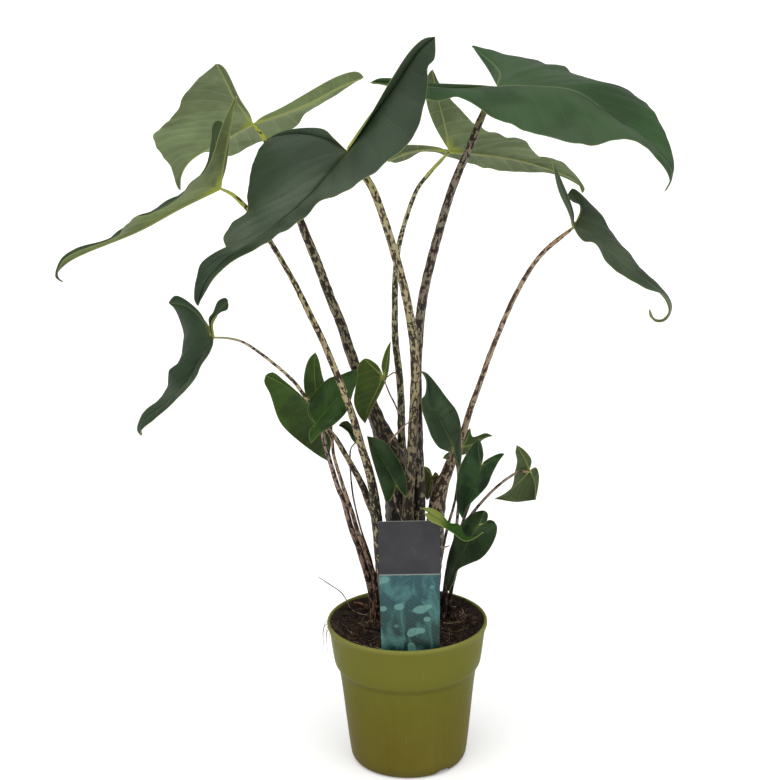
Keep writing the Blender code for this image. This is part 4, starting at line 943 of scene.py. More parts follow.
def leaf_finish(name, look, side):
    """Blade surface with its side veins, fine veins, ribs, painted rim light on the margin and
    painted grey sheen.
    """
    upper = side is UPPER_SIDE
    sheen_streaked = "patch" in look
    colour = look["top"] if upper else look["under"]
    rib_colour = blended(colour, side["rib"], side["rib_share"])
    shine = LEAF_SHINE
    vein_show = SHEEN_STREAKED_UNDER_VEINS if sheen_streaked else UNDER_VEINS
    if upper:
        rib_colour = look.get("rib", rib_colour)
        shine = look.get("shine", LEAF_SHINE)
        vein_show = look.get("veins", TOP_VEINS)
    finish = Finish(name, Specular_IOR_Level=shine)
    phase, _, to_edge = finish.split(finish.attribute("leaf_coord"))
    from_rib, along, _ = finish.split(finish.attribute("leaf_rib"))
    place = finish.place()
    grain = finish.noise(place, 700.0, 3.0, 0.6)
    wander = finish.math("MULTIPLY_ADD", finish.noise(place, 60.0, 1.0), 0.16, phase)
    wander = finish.math("SUBTRACT", wander, 0.08)
    side_vein = finish.step(finish.stripes(wander), 0.008, side["vein_width"], 1.0, 0.0)
    fine_phase = finish.math("MULTIPLY", wander, 8.0)
    fine_vein = finish.step(finish.stripes(fine_phase), 0.06, 0.26, 1.0, 0.0)
    net = finish.step(finish.cells(place, 420.0, "DISTANCE_TO_EDGE"), 0.0, 0.18, 1.0, 0.0)
    rib = finish.step(from_rib, 0.75, 1.35, 1.0, 0.0)
    # Painted rim light: a pale yellowish band along the thin margin
    rim_light = finish.step(to_edge, 0.25, 0.9, 1.0, 0.0)
    rim_light_show = UPPER_SIDE["rim_light"] if sheen_streaked else side["rim_light"]
    near = finish.math("ABSOLUTE", finish.math("SUBTRACT", along, 1.0))
    glow = finish.step(from_rib, 1.0, 7.0, side["glow"], 0.0)
    glow = finish.math("MULTIPLY", finish.step(near, 0.0, 0.14, 1.0, 0.0), glow)
    pale = blended(colour, PALE_VEINS, side["pale"])
    ground = finish.layered(
        leaf_ground(finish, look, side, colour, along),
        (finish.math("MULTIPLY", fine_vein, 0.12), toned(colour, 0.72) if upper else pale),
        (finish.math("MULTIPLY", net, 0.10), toned(colour, 0.7)),
        (finish.math("MULTIPLY", side_vein, vein_show), pale),
    )
    if "base" in look:
        ground = finish.between(finish.step(along, 0.66, 0.88), ground, look["base"])
    ground = finish.layered(
        ground,
        (finish.math("MULTIPLY", rib, 0.75), rib_colour),
        (glow, GLOW),
        (finish.math("MULTIPLY", rim_light, rim_light_show), RIM_LIGHT),
    )
    heights = finish.math("MULTIPLY_ADD", fine_vein, -0.06, finish.math("MULTIPLY", grain, 0.45))
    heights = finish.math("MULTIPLY_ADD", side_vein, side["vein_height"], heights)
    finish.bump(heights, 0.4 * MM, 0.7)
    return finish.done(ground, finish.step(grain, 0.3, 0.7, *side["roughness"]))


def stem_finish(name, look):
    """Stem skin: a pale ground with zigzag bands of irregular dark marks."""
    finish = Finish(name, Specular_IOR_Level=0.25)
    place = finish.attribute("stem_coord")
    along = finish.attribute("stem_along", "Fac")
    low, top, mark, bare = (look[key] for key in ("low", "top", "mark", "bare"))
    marks = finish.noise(finish.stretch(place, (0.42, 0.42, 0.14)), 1.0, 2.0, 0.5, 0.5)
    bands = finish.noise(finish.stretch(place, (0.10, 0.10, 0.17)), 1.0, 1.0, 0.5, 1.0)
    marks = finish.math("MULTIPLY_ADD", bands, 0.45, marks)
    marks = finish.math("SUBTRACT", marks, 0.225)
    # More marks towards the soil and almost none at the neck
    marks = finish.math("ADD", marks, finish.step(along, 0.45, 0.80, 0.0, 0.045))
    marks = finish.math("SUBTRACT", marks, finish.step(along, 0.01, 0.10, 0.12, 0.0))
    marked = finish.step(marks, bare - 0.012, bare + 0.018)
    patches = finish.noise(place, 0.12, 3.0)
    grain = finish.noise(finish.stretch(place, (2.2, 2.2, 0.5)), 1.0, 2.0)
    ground = finish.between(finish.step(along, 0.03, 0.12), look["neck"], top)
    ground = finish.layered(
        ground,
        (finish.step(along, 0.22, 0.74), low),
        (finish.step(patches, 0.45, 0.72, 0.0, 0.35), toned(low, 0.8)),
        (finish.step(grain, 0.35, 0.75, 0.0, 0.22), toned(top, 1.15)),
    )
    dark = finish.between(finish.step(patches, 0.35, 0.65), mark, toned(mark, 1.25))
    dark = finish.between(finish.step(along, 0.4, 0.8, 0.0, 0.8), dark, toned(mark, 0.5))
    colour = finish.mix(marked, ground, dark)
    finish.bump(finish.math("MULTIPLY_ADD", marked, 0.25, grain), 0.25 * MM, 0.6)
    return finish.done(colour, finish.step(grain, 0.3, 0.7, 0.40, 0.52))


def pot_finish():
    """Olive moulded plastic with faint streaks, dust and painted shade at the foot, a painted
    shadow line under the collar and a paler lip.
    """
    finish = Finish("pot_plastic", Specular_IOR_Level=0.03)
    tints = POT_COLOURS
    place = finish.place()
    _, _, height = finish.split(place)
    clouds = finish.noise(place, 16.0, 4.0, 0.6)
    streaks = finish.noise(finish.stretch(place, (90.0, 90.0, 7.0)), 1.0, 3.0)
    grain = finish.noise(place, 1500.0, 2.0)
    scratches = finish.noise(finish.stretch(place, (420.0, 420.0, 40.0)), 1.0, 2.0, 0.5, 1.0)
    # Distance from the painted shadow line under the collar
    from_collar_shadow = finish.distance(height, COLLAR_SHADOW_HEIGHT)
    wall = finish.between(finish.fade(height, POT_WALL_FADE), tints["low_wall"], tints["high_wall"])
    colour = finish.layered(
        wall,
        (finish.fade(height, POT_COLLAR_FADE), tints["collar"]),
        (finish.step(clouds, 0.3, 0.7, 0.0, 0.35), tints["clouds"]),
        (finish.step(streaks, 0.45, 0.75, 0.0, 0.22), tints["streaks"]),
        (finish.fade(height, POT_LIP_FADE, 0.0, 0.45), tints["lip"]),
        # Dust and painted shade at the foot
        (finish.fade(height, POT_FOOT_DUST_AND_SHADE_FADE, 0.0, 0.45), tints["foot"]),
        # Painted shadow line under the collar
        (finish.fade(from_collar_shadow, COLLAR_SHADOW_FADE, 0.32, 0.0), tints["line"]),
        (finish.step(scratches, 0.68, 0.76, 0.0, 0.22), tints["scratches"]),
    )
    finish.bump(finish.math("MULTIPLY_ADD", streaks, 0.8, grain), 0.12 * MM, 0.5)
    return finish.done(colour, finish.step(clouds, 0.3, 0.7, 0.36, 0.48))


def soil_finish(name):
    """Damp crumbly soil, darker in its hollows."""
    dark, light = SOIL_COLOURS[name]
    finish = Finish(name, Specular_IOR_Level=0.15)
    place = finish.place()
    clods = finish.noise(place, 160.0, 5.0, 0.65)
    grit = finish.noise(place, 900.0, 3.0, 0.6)
    flecks = finish.cells(place, 330.0)
    colour = finish.between(finish.step(clods, 0.32, 0.68), dark, light)
    colour = finish.between(finish.step(grit, 0.60, 0.72, 0.0, 0.5), colour, toned(light, 1.5))
    colour = finish.between(finish.step(flecks, 0.10, 0.04, 0.0, 0.5), colour, SOIL_FLECKS)
    finish.bump(finish.math("MULTIPLY_ADD", clods, 1.5, grit), 1.2 * MM)
    return finish.done(colour, finish.step(grit, 0.3, 0.7, 0.75, 0.95))


def dry_finish(name):
    """Dry fibrous plant matter, streaked along the frame's upright axis and speckled."""
    dark, light = DRY_COLOURS[name]
    finish = Finish(name)
    place = finish.place()
    fibres = finish.noise(finish.stretch(place, (900.0, 900.0, 160.0)), 1.0, 3.0)
    spots = finish.noise(place, 260.0, 3.0)
    colour = finish.between(finish.step(fibres, 0.3, 0.7), dark, light)
    colour = finish.between(finish.step(spots, 0.55, 0.7, 0.0, 0.5), colour, toned(dark, 0.6))
    finish.bump(fibres, 0.3 * MM, 0.8)
    return finish.done(colour, finish.step(spots, 0.3, 0.7, 0.55, 0.75))


def print_finish():
    """Printed card: a slate field over a teal field of soft round shapes and slanting lines."""
    finish = Finish("label_print", Specular_IOR_Level=0.25)
    tints = LABEL_COLOURS
    place = finish.place()
    x, _, height = finish.split(place)
    paper = finish.noise(place, 1400.0, 2.0)
    wear = finish.noise(place, 45.0, 4.0)
    slate = finish.between(finish.step(wear, 0.35, 0.7), *tints["slate"])
    shapes = finish.cells(finish.stretch(place, (1.0, 0.0, 1.3)), 62.0, "SMOOTH_F1")
    drift = finish.noise(finish.stretch(place, (1.0, 0.0, 0.45)), 60.0, 2.0, 0.5, 1.2)
    rings = finish.stripes(finish.math("MULTIPLY", shapes, 9.0))
    slant = finish.math("MULTIPLY_ADD", x, 160.0, finish.math("MULTIPLY", height, 240.0))
    teal = finish.layered(
        finish.between(finish.fade(height, TEAL_FADE), *tints["teal"]),
        (finish.step(drift, 0.42, 0.66, 0.0, 0.8), tints["drift"]),
        (finish.step(shapes, 0.30, 0.22, 0.0, 0.75), tints["shapes"]),
        (finish.step(rings, 0.34, 0.44, 0.0, 0.25), tints["rings"]),
        (finish.step(finish.stripes(slant), 0.05, 0.12, 0.07, 0.0), tints["lines"]),
    )
    from_split = finish.distance(height, LABEL_SPLIT)
    colour = finish.layered(
        finish.mix(finish.fade(height, SPLIT_FADE), teal, slate),
        (finish.fade(from_split, SPLIT_LINE_FADE, 0.6, 0.0), tints["edge"]),
        (finish.step(wear, 0.62, 0.78, 0.0, 0.18), tints["wear"]),
    )
    finish.bump(paper, 0.05 * MM, 0.5)
    return finish.done(colour, finish.step(paper, 0.3, 0.7, 0.34, 0.44))


def card_finish():
    """The card's plain pale back and edges."""
    finish = Finish("label_card")
    place = finish.place()
    paper = finish.noise(place, 500.0, 3.0)
    stains = finish.noise(place, 40.0, 4.0)
    colour = finish.between(finish.step(paper, 0.3, 0.7), *LABEL_COLOURS["card"])
    stain_share = finish.step(stains, 0.55, 0.75, 0.0, 0.5)
    colour = finish.between(stain_share, colour, LABEL_COLOURS["stains"])
    finish.bump(paper, 0.08 * MM, 0.5)
    return finish.done(colour, finish.step(stains, 0.3, 0.7, 0.45, 0.6))


def floor_finish():
    finish = Finish("floor_paper", Specular_IOR_Level=0.1, Emission_Strength=0.22)
    shade = finish.noise(finish.place(), 0.8, 2.0)
    return finish.done(finish.between(shade, toned(FLOOR_COLOUR, 0.995), FLOOR_COLOUR))


def curve_points(knots):
    """Points of a centripetal Catmull-Rom curve through the knots."""
    before = 2 * knots[0] - knots[1]
    after = 2 * knots[-1] - knots[-2]
    padded = np.vstack([before, knots, after])
    spans = np.sqrt(np.linalg.norm(np.diff(padded, axis=0), axis=1))
    points = []
    for i in range(1, len(padded) - 2):
        p0, p1, p2, p3 = padded[i - 1:i + 3]
        t1 = spans[i - 1]
        t2 = t1 + spans[i]
        t3 = t2 + spans[i + 1]
        for t in np.linspace(t1, t2, CURVE_SAMPLES, endpoint=False):
            a1 = ((t1 - t) * p0 + t * p1) / t1
            a2 = ((t2 - t) * p1 + (t - t1) * p2) / (t2 - t1)
            a3 = ((t3 - t) * p2 + (t - t2) * p3) / (t3 - t2)
            b1 = ((t2 - t) * a1 + t * a2) / t2
            b2 = ((t3 - t) * a2 + (t - t1) * a3) / (t3 - t1)
            points.append(((t2 - t) * b1 + (t - t1) * b2) / (t2 - t1))
    return np.array([*points, knots[-1]])


def line_lengths(points):
    steps = np.linalg.norm(np.diff(points, axis=0), axis=1)
    return np.concatenate([[0.0], np.cumsum(steps)])


def smooth_line(points, fractions):
    """Places at the given fractions of the length of a smooth curve through the points."""
    knots = np.array(points, dtype=float)
    dense = curve_points(knots) if len(knots) > 2 else knots
    lengths = line_lengths(dense)
    wanted = np.asarray(fractions) * lengths[-1]
    return np.stack([np.interp(wanted, lengths, dense[:, axis]) for axis in range(3)], axis=1)


def unit(vectors):
    return vectors / np.maximum(np.linalg.norm(vectors, axis=-1, keepdims=True), SHORTEST)


def upper_normals(ribs, edges, turn):
    """Unit normals of the blade's upper side along a rib line that runs from the tip."""
    forward = -np.gradient(ribs, axis=0)
    return unit(np.cross(forward, edges - ribs) * turn)


def blade_lines(shape, side, spine_rows, lobe_rows):
    """Rib, edge, lobe rib and sinus lines of one side of a blade, with matching rows."""
    spine = smooth_line(
        [shape["tip"], *shape["midrib"], shape["junction"]], np.linspace(0, 1, spine_rows + 1)
    )
    lobe_end = shape[side + "_tip"]
    along_lobe = np.linspace(0, 1, lobe_rows + 1)
    lobe = smooth_line([shape["junction"], *shape[side + "_rib"], lobe_end], along_lobe)
    ribs = np.vstack([spine, lobe[1:]])
    lengths = line_lengths(ribs)
    edges = smooth_line([shape["tip"], *shape[side + "_edge"], lobe_end], lengths / lengths[-1])
    sinus = smooth_line([lobe_end, *shape[side + "_sinus"], shape["junction"]], 1 - along_lobe)
    return ribs, edges, lobe, sinus


def smooth_step(values, low, high):
    share = np.clip((values - low) / (high - low), 0.0, 1.0)
    return share * share * (3.0 - 2.0 * share)


def blade_strip(ribs, edges, along, turn, columns, detail):
    """One strip of the blade: points, vein data, rib data, fold heights, rib swell and quads."""
    across = np.linspace(0.0, 1.0, columns + 1)[None, :] ** RIB_CROWDING
    along = along[:, None]
    widths = np.linalg.norm(edges - ribs, axis=1)[:, None]
    hump = 4.0 * across * (1.0 - across)
    lift = hump * widths * BLADE_CAMBER
    points = ribs[:, None, :] + (edges - ribs)[:, None, :] * across[..., None]
    points += upper_normals(ribs, edges, turn)[:, None, :] * lift[..., None]
    slant = VEIN_SLANT * (1.0 - smooth_step(along, 0.85, 1.35))
    phase = detail["veins"] * (along + slant * across)
    distance = widths * across
    # The ribs are widest where they meet
    taper = np.where(along < 1.0, 0.25 + 0.75 * along, 1.0 / (0.2 + along ** 2 * 0.8))
    half_rib = detail["rib"] * taper
    zero = np.zeros_like(phase)
    coords = np.stack([phase, across + zero, widths - distance], axis=-1)
    rib_data = np.stack([distance / half_rib, along + zero, zero], axis=-1)
    window = (np.sqrt(hump) * 0.8 + across * 0.35) * np.clip(widths / PLEATED_WIDTH, 0.0, 1.0)
    window = window * (1.0 - 0.6 * smooth_step(along, 0.95, 1.3))
    folds = detail["pleat"] * (np.abs(np.sin(np.pi * phase)) ** 0.8 - 0.6) * window
    folds -= RIB_GROOVE * detail["rib"] * np.exp(-(distance / (1.8 * half_rib)) ** 2)
    swell = half_rib * np.exp(-(distance / half_rib) ** 2)
    index = np.arange(phase.size).reshape(phase.shape)
    corners = [index[:-1, :-1], index[1:, :-1], index[1:, 1:], index[:-1, 1:]]
    quads = np.stack(corners, axis=-1).reshape(-1, 4)
    if turn > 0:
        quads = quads[:, ::-1]
    flat = [array.reshape(-1, 3) for array in (points, coords, rib_data)]
    return [*flat, folds.ravel(), swell.ravel(), quads]


def waved(edges, ribs):
    """A big blade's margin with small irregular waves that die out at both ends."""
    lengths = line_lengths(edges)
    across = edges - ribs
    widths = np.linalg.norm(across, axis=1)
    fade = np.clip(widths / WAVED_WIDTH, 0.0, 1.0)[:, None]
    seed = edges[len(edges) // 2].sum()
    waves = []
    for plane in WAVE_PLANES:
        places = [Vector((at / WAVE_LENGTH, seed, plane)) for at in lengths]
        waves.append(np.array([noise.noise(place) for place in places])[:, None])
    shift = across / np.maximum(widths, SHORTEST)[:, None] * WAVE_ACROSS * waves[0]
    shift += np.array((0.0, 0.0, WAVE_UP)) * waves[1]
    return edges + shift * fade


def blade_sheet(shape, detail):
    """The whole blade as one welded sheet made of four strips."""
    strips = []
    rows = detail["spine_rows"], detail["lobe_rows"]
    for side, turn in (("left", 1), ("right", -1)):
        ribs, edges, lobe, sinus = blade_lines(shape, side, *rows)
        if detail is BIG_DETAIL:
            edges = waved(edges, ribs)
        lengths = line_lengths(ribs)
        along = lengths / lengths[rows[0]]
        strips.append(blade_strip(ribs, edges, along, turn, detail["columns"], detail))
        strips.append(blade_strip(lobe, sinus, along[rows[0]:], -turn, detail["inner"], detail))
    start = 0
    for strip in strips:
        strip[-1] = strip[-1] + start
        start += len(strip[0])
    *data, quads = (np.concatenate(parts) for parts in zip(*strips))
    # Points that the strips share become one
    places = np.round(data[0], 2)
    _, first, inverse = np.unique(places, axis=0, return_index=True, return_inverse=True)
    return [*(array[first] for array in data), inverse.ravel()[quads]]


def vertex_normals(points, quads):
    corners = points[quads]
    faces = np.cross(corners[:, 2] - corners[:, 0], corners[:, 3] - corners[:, 1])
    normals = np.zeros_like(points)
    for corner in range(4):
        np.add.at(normals, quads[:, corner], faces)
    return unit(normals)


def clean_faces(quads):
    """Faces without repeated corners, where a quad has closed to a triangle or to a line."""
    faces = []
    for quad in quads.tolist():
        face = [corner for i, corner in enumerate(quad) if corner != quad[i - 1]]
        if len(face) > 2 and len(set(face)) == len(face):
            faces.append(tuple(face))
    return faces


def border(faces):
    """Directed edges that belong to one face only."""
    edges = set()
    for face in faces:
        for i, corner in enumerate(face):
            edges.add((face[i - 1], corner))
    return [edge for edge in sorted(edges) if (edge[1], edge[0]) not in edges]


def add_piece(name, nodes, points, faces, materials, indices=None, data=()):
    """Add a mesh piece that rides on the root body and stands for the named CAD nodes."""
    mesh = bpy.data.meshes.new(name)
    mesh.from_pydata((np.asarray(points) * MM).tolist(), [], faces)
    for material in materials:
        mesh.materials.append(material)
    if indices is not None:
        mesh.polygons.foreach_set("material_index", indices)
    for key, kind, values in data:
        layer = mesh.attributes.new(key, kind, "POINT")
        field = "vector" if kind == "FLOAT_VECTOR" else "value"
        layer.data.foreach_set(field, np.asarray(values, dtype=np.float32).ravel())
    mesh.shade_smooth()
    mesh.set_sharp_from_angle(angle=math.radians(SHARP_ANGLE))
    mesh.update()
    obj = bpy.data.objects.new(name, mesh)
    bpy.context.scene.collection.objects.link(obj)
    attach(obj, "root")
    if nodes:
        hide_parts(*nodes)
    return obj


def add_blade(name, shape):
    """A leaf's blade: an upper and an under sheet joined at the rim, with its ribs standing out."""
    big = np.linalg.norm(np.subtract(shape["tip"], shape["junction"])) > BIG_BLADE
    detail = BIG_DETAIL if big else SMALL_DETAIL
    points, coords, rib_data, folds, swell, quads = blade_sheet(shape, detail)
    normals = vertex_normals(points, quads)
    top = points + normals * (folds + SHEET / 2.0)[:, None]
    low = points + normals * (folds - SHEET / 2.0 - swell)[:, None]
    count = len(points)
    upper = clean_faces(quads)
    under = [tuple(corner + count for corner in reversed(face)) for face in upper]
    rim = [(b, a, a + count, b + count) for a, b in border(upper)]
    indices = [0] * len(upper) + [1] * (len(under) + len(rim))
    look = LEAF_LOOKS[name]
    materials = [
        leaf_finish(name + "_upper", look, UPPER_SIDE),
        leaf_finish(name + "_under", look, UNDER_SIDE),
    ]
    data = [
        ("leaf_coord", "FLOAT_VECTOR", np.vstack([coords, coords])),
        ("leaf_rib", "FLOAT_VECTOR", np.vstack([rib_data, rib_data])),
    ]
    add_piece(
        "blade_" + name, ["leaf_" + name], np.vstack([top, low]), upper + under + rim,
        materials, indices, data,
    )


def stem_top(shape, stem):
    """Middle of the stem's upper end, close under the blade."""
    junction = np.array(shape["junction"], dtype=float)
    upward = np.zeros(3)
    for side, turn in (("left", 1), ("right", -1)):
        ribs, edges, _, _ = blade_lines(shape, side, **TOP_ROWS)
        beside_junction = slice(TOP_ROWS["spine_rows"] - 1, TOP_ROWS["spine_rows"] + 2)
        upward += upper_normals(ribs, edges, turn)[beside_junction].mean(axis=0)
    upward = unit(upward)
    leaving = unit(np.array(stem["path"][0]) - junction)
    slant = math.sqrt(max(0.0, 1.0 - np.dot(leaving, upward) ** 2))
    top_radius = stem["radii"][0][1]
    return junction - (CAD_BLADE_THICKNESS / 2.0 + STEM_GAP + top_radius * slant) * upward


def around(radius, angle):
    """Where a point lies at a distance and an angle from the pot's middle."""
    return radius * math.cos(angle), radius * math.sin(angle)


def ring_angles(sides):
    return np.arange(sides) * 2.0 * math.pi / sides


def ring_faces(rows, sides):
    """Quads between rings of points that follow one another."""
    faces = []
    for row in range(rows - 1):
        for step in range(sides):
            after = (step + 1) % sides
            low, high = row * sides, (row + 1) * sides
            faces.append((low + step, low + after, high + after, high + step))
    return faces


def end_faces(rows, sides):
    """The flat first and last faces of a solid made of rings."""
    last = (rows - 1) * sides
    return [tuple(reversed(range(sides))), tuple(range(last, last + sides))]


def tube(line, widths, sides, uneven=0.0):
    """A closed tube: points, faces, and each point's place on the skin in millimetres."""
    tangents = unit(np.gradient(line, axis=0))
    side = unit(np.cross(tangents[0], ODD_DIRECTION))
    angles = ring_angles(sides)
    points = []
    skin = []
    for centre, tangent, width, length in zip(line, tangents, widths, line_lengths(line)):
        side = unit(side - tangent * np.dot(side, tangent))
        other = np.cross(tangent, side)
        ring = np.outer(np.cos(angles), side) + np.outer(np.sin(angles), other)
        lumps = [noise.noise(Vector(centre + spoke * width) / LUMP_SIZE) for spoke in ring]
        points.append(centre + ring * width * (1.0 + uneven * np.array(lumps))[:, None])
        around_skin = np.cos(angles) * width, np.sin(angles) * width
        skin.append(np.stack([*around_skin, np.full(sides, length)], axis=1))
    faces = ring_faces(len(line), sides) + end_faces(len(line), sides)
    return np.vstack(points), faces, np.vstack(skin)


def radii_along(line, radii):
    along = line_lengths(line)
    along = along / along[-1]
    return np.interp(along, [at for at, _ in radii], [radius for _, radius in radii]), along


def add_stem(name, stem, shape):
    """A leaf's stem, from close under its blade down into its socket in the soil."""
    above_soil = (*stem["root"], SOIL_TOP + STEM_BEND)
    points = [tuple(stem_top(shape, stem)), *stem["path"], above_soil]
    length = line_lengths(np.array(points, dtype=float))[-1]
    line = smooth_line(points, np.linspace(0, 1, round(length / STEM_STEP)))
    line = np.vstack([line, (*stem["root"], SOIL_TOP - SOCKET_DEPTH)])
    widths, along = radii_along(line, stem["radii"])
    if name in STEM_LOOKS:
        widths *= radii_along(line, SHEATH_SWELL.get(name, PLAIN_SWELL))[0]
    if name in SHEATH_LEAN:
        line[:, 0] += radii_along(line, SHEATH_LEAN[name])[0]
    points, faces, skin = tube(line, widths, STEM_SIDES, STEM_ROUGHNESS)
    fraction = np.repeat(along, STEM_SIDES)
    skin[:, 2] += MARK_SHIFT * len(bpy.data.objects)
    data = [("stem_coord", "FLOAT_VECTOR", skin), ("stem_along", "FLOAT", fraction)]
    material = stem_finish(name + "_stem", STEM_LOOKS.get(name, PLAIN_STEM))
    add_piece("petiole_" + name, ["stem_" + name], points, faces, [material], None, data)


def rounded(profile, passes):
    """A profile whose corners are cut back again and again, with its ends kept."""
    points = np.array(profile, dtype=float)
    for _ in range(passes):
        near = points[:-1] * 0.75 + points[1:] * 0.25
        far = points[:-1] * 0.25 + points[1:] * 0.75
        middle = np.stack([near, far], axis=1).reshape(-1, 2)
        points = np.vstack([points[:1], middle, points[-1:]])
    return points


def turned(profile, sides):
    """Points and faces of a solid turned about Z, with flat discs at both ends."""
    rows = []
    for radius, height in profile:
        rows.append([(*around(radius, angle), height) for angle in ring_angles(sides)])
    faces = ring_faces(len(rows), sides) + end_faces(len(rows), sides)
    return [point for row in rows for point in row], faces


def drain_cutter():
    """Two wide low arches through the corner between the pot's wall and base."""
    radius = (DRAIN_WIDTH ** 2 / 4.0 + DRAIN_HEIGHT ** 2) / (2.0 * DRAIN_HEIGHT)
    bm = bmesh.new()
    for degrees in DRAIN_ANGLES:
        angle = math.radians(degrees)
        heading = Vector((math.cos(angle), math.sin(angle), 0.0))
        middle = heading * sum(DRAIN_REACH) / 2.0 + Vector((0.0, 0.0, DRAIN_HEIGHT - radius))
        made = bmesh.ops.create_cone(
            bm, cap_ends=True, segments=DRAIN_SIDES, radius1=radius * MM, radius2=radius * MM,
            depth=(DRAIN_REACH[1] - DRAIN_REACH[0]) * MM,
        )
        turn = Vector((0.0, 0.0, 1.0)).rotation_difference(heading).to_matrix()
        bmesh.ops.rotate(bm, verts=made["verts"], matrix=turn)
        bmesh.ops.translate(bm, verts=made["verts"], vec=middle * MM)
    mesh = bpy.data.meshes.new("drain_cutter")
    bm.to_mesh(mesh)
    bm.free()
    tool = bpy.data.objects.new("drain_cutter", mesh)
    bpy.context.scene.collection.objects.link(tool)
    return tool


def add_pot():
    """The pot's shell, turned about Z and then cut by the drain arches."""
    points, faces = turned(rounded([*POT_OUTSIDE, *POT_INSIDE], POT_ROUNDING), POT_SIDES)
    pot = add_piece("nursery_pot", ["pot"], points, faces, [pot_finish()])
    tool = drain_cutter()
    cut = pot.modifiers.new("drains", "BOOLEAN")
    cut.operation = "DIFFERENCE"
    cut.solver = "EXACT"
    cut.object = tool
    graph = bpy.context.evaluated_depsgraph_get()
    carved = bpy.data.meshes.new_from_object(pot.evaluated_get(graph))
    pot.modifiers.clear()
    pot.data = carved
    bpy.data.objects.remove(tool, do_unlink=True)


def wall_radius(height):
    """Radius of the soil at a height, a small gap inside the pot's wall."""
    heights = [z for _, z in reversed(POT_INSIDE)]
    radii = [r for r, _ in reversed(POT_INSIDE)]
    return float(np.interp(height, heights, radii)) - SOIL_WALL_GAP


def soil_height(x, y):
    """Height of the soil: clods all over, heaps along the wall and a hollow at the back left."""
    reach = min(1.0, math.hypot(x, y) / HEAP_REACH)
    heading = math.degrees(math.atan2(y, x)) % 360.0
    height = SOIL_TOP + RIM_RISE * reach ** RIM_POWER
    for middle, width, power, rise in SOIL_HEAPS:
        height += rise * math.exp(-((heading - middle) / width) ** 2) * reach ** power
    size, rise = CLODS
    height += rise * noise.fractal(Vector((x, y, 4.0)) / size, 0.9, 2.1, 4)
    size, rise = FINE_LUMPS
    return height + rise * noise.noise(Vector((x, y, 9.0)) / size)


def add_soil():
    """The whole body of soil, with a rough top and plain sides."""
    angles = ring_angles(SOIL_SIDES)
    heights = [POT_FLOOR + SOIL_FLOOR_GAP]
    heights += [height for _, height in reversed(POT_INSIDE[3:-1])]
    rings = []
    for height in heights:
        radius = wall_radius(height)
        rings.append([(*around(radius, angle), height) for angle in angles])
    edge = wall_radius(SOIL_TOP + SOIL_EDGE_RISE)
    for row in range(SOIL_RINGS, 0, -1):
        places = [around(edge * row / SOIL_RINGS, angle) for angle in angles]
        rings.append([(x, y, soil_height(x, y)) for x, y in places])
    points = [point for ring in rings for point in ring]
    points.append((0.0, 0.0, soil_height(0.0, 0.0)))
    bottom, top = end_faces(len(rings), SOIL_SIDES)
    faces = [bottom, *ring_faces(len(rings), SOIL_SIDES)]
    for step, corner in enumerate(top):
        faces.append((corner, top[(step + 1) % SOIL_SIDES], len(points) - 1))
    finish = soil_finish("soil_ground")
    add_piece("potting_soil", ["soil"], points, faces, [finish])


def anywhere(reach, random):
    """A random place within a distance of the pot's middle."""
    return around(reach * math.sqrt(random.random()), random.random() * 2.0 * math.pi)


def add_crumbs(name, finish, random, count, sizes):
    """Loose lumps lying on the soil, each a jittered ball, joined in one piece."""
    bm = bmesh.new()
    bmesh.ops.create_icosphere(bm, subdivisions=1, radius=1.0)
    ball = np.array([vert.co for vert in bm.verts])
    ball_faces = [[vert.index for vert in face.verts] for face in bm.faces]
    bm.free()
    points = []
    faces = []
    for _ in range(count):
        size = sizes[0] + (sizes[1] - sizes[0]) * random.random() ** 3
        x, y = anywhere(CRUMB_REACH - size, random)
        stretch = 1.0 + 0.8 * (random.random(3) - 0.5)
        lump = ball * (1.0 + 0.5 * (random.random((len(ball), 1)) - 0.5)) * stretch * size
        turn = Matrix.Rotation(random.random() * math.pi, 3, Vector(random.random(3) - 0.5))
        lump = lump @ np.array(turn).T
        start = len(points)
        points.extend((lump + (x, y, soil_height(x, y) + 0.35 * size)).tolist())
        faces.extend([tuple(start + corner for corner in face) for face in ball_faces])
    add_piece(name, [], points, faces, [finish])


def joined_tubes(name, lines, radii, finish, sides):
    """Several thin tubes in one piece, each through its own points."""
    points = []
    faces = []
    for path in lines:
        length = line_lengths(np.array(path, dtype=float))[-1]
        rows = max(THIN_ROWS, round(length / THIN_STEP))
        line = smooth_line(path, np.linspace(0, 1, rows))
        widths, _ = radii_along(line, radii)
        tube_points, tube_faces, _ = tube(line, widths, sides, THIN_ROUGHNESS)
        start = len(points)
        points.extend(tube_points.tolist())
        faces.extend([tuple(start + corner for corner in face) for face in tube_faces])
    add_piece(name, [], points, faces, [finish])


def fibre_lines(random, count, lengths, spread):
    """Wandering lines that lie on the soil."""
    lines = []
    for _ in range(count):
        x, y = anywhere(FIBRE_REACH, random)
        heading = random.random() * 2.0 * math.pi
        step = (lengths[0] + (lengths[1] - lengths[0]) * random.random()) / FIBRE_STEPS
        line = []
        for _ in range(FIBRE_STEPS + 1):
            if math.hypot(x, y) > FIBRE_LIMIT:
                break
            line.append((x, y, soil_height(x, y) + 0.7 + 0.8 * random.random()))
            heading += spread * (random.random() - 0.5)
            x += step * math.cos(heading)
            y += step * math.sin(heading)
        if len(line) > 3:
            lines.append(line)
    return lines


def lip_lines():
    """Old roots that hang over the lip at the left."""
    lines = []
    for turn, drop, stand_off in LIP_ROOTS:
        bend = (LIP_BEND[0] + stand_off, LIP_BEND[1])
        end = (LIP_HANG[0] + stand_off, LIP_HANG[1] - drop)
        line = []
        for step, (radius, height) in enumerate([*LIP_RISE, bend, end]):
            line.append((*around(radius, math.radians(turn) + LIP_TURN * step), height))
        lines.append(line)
    return lines


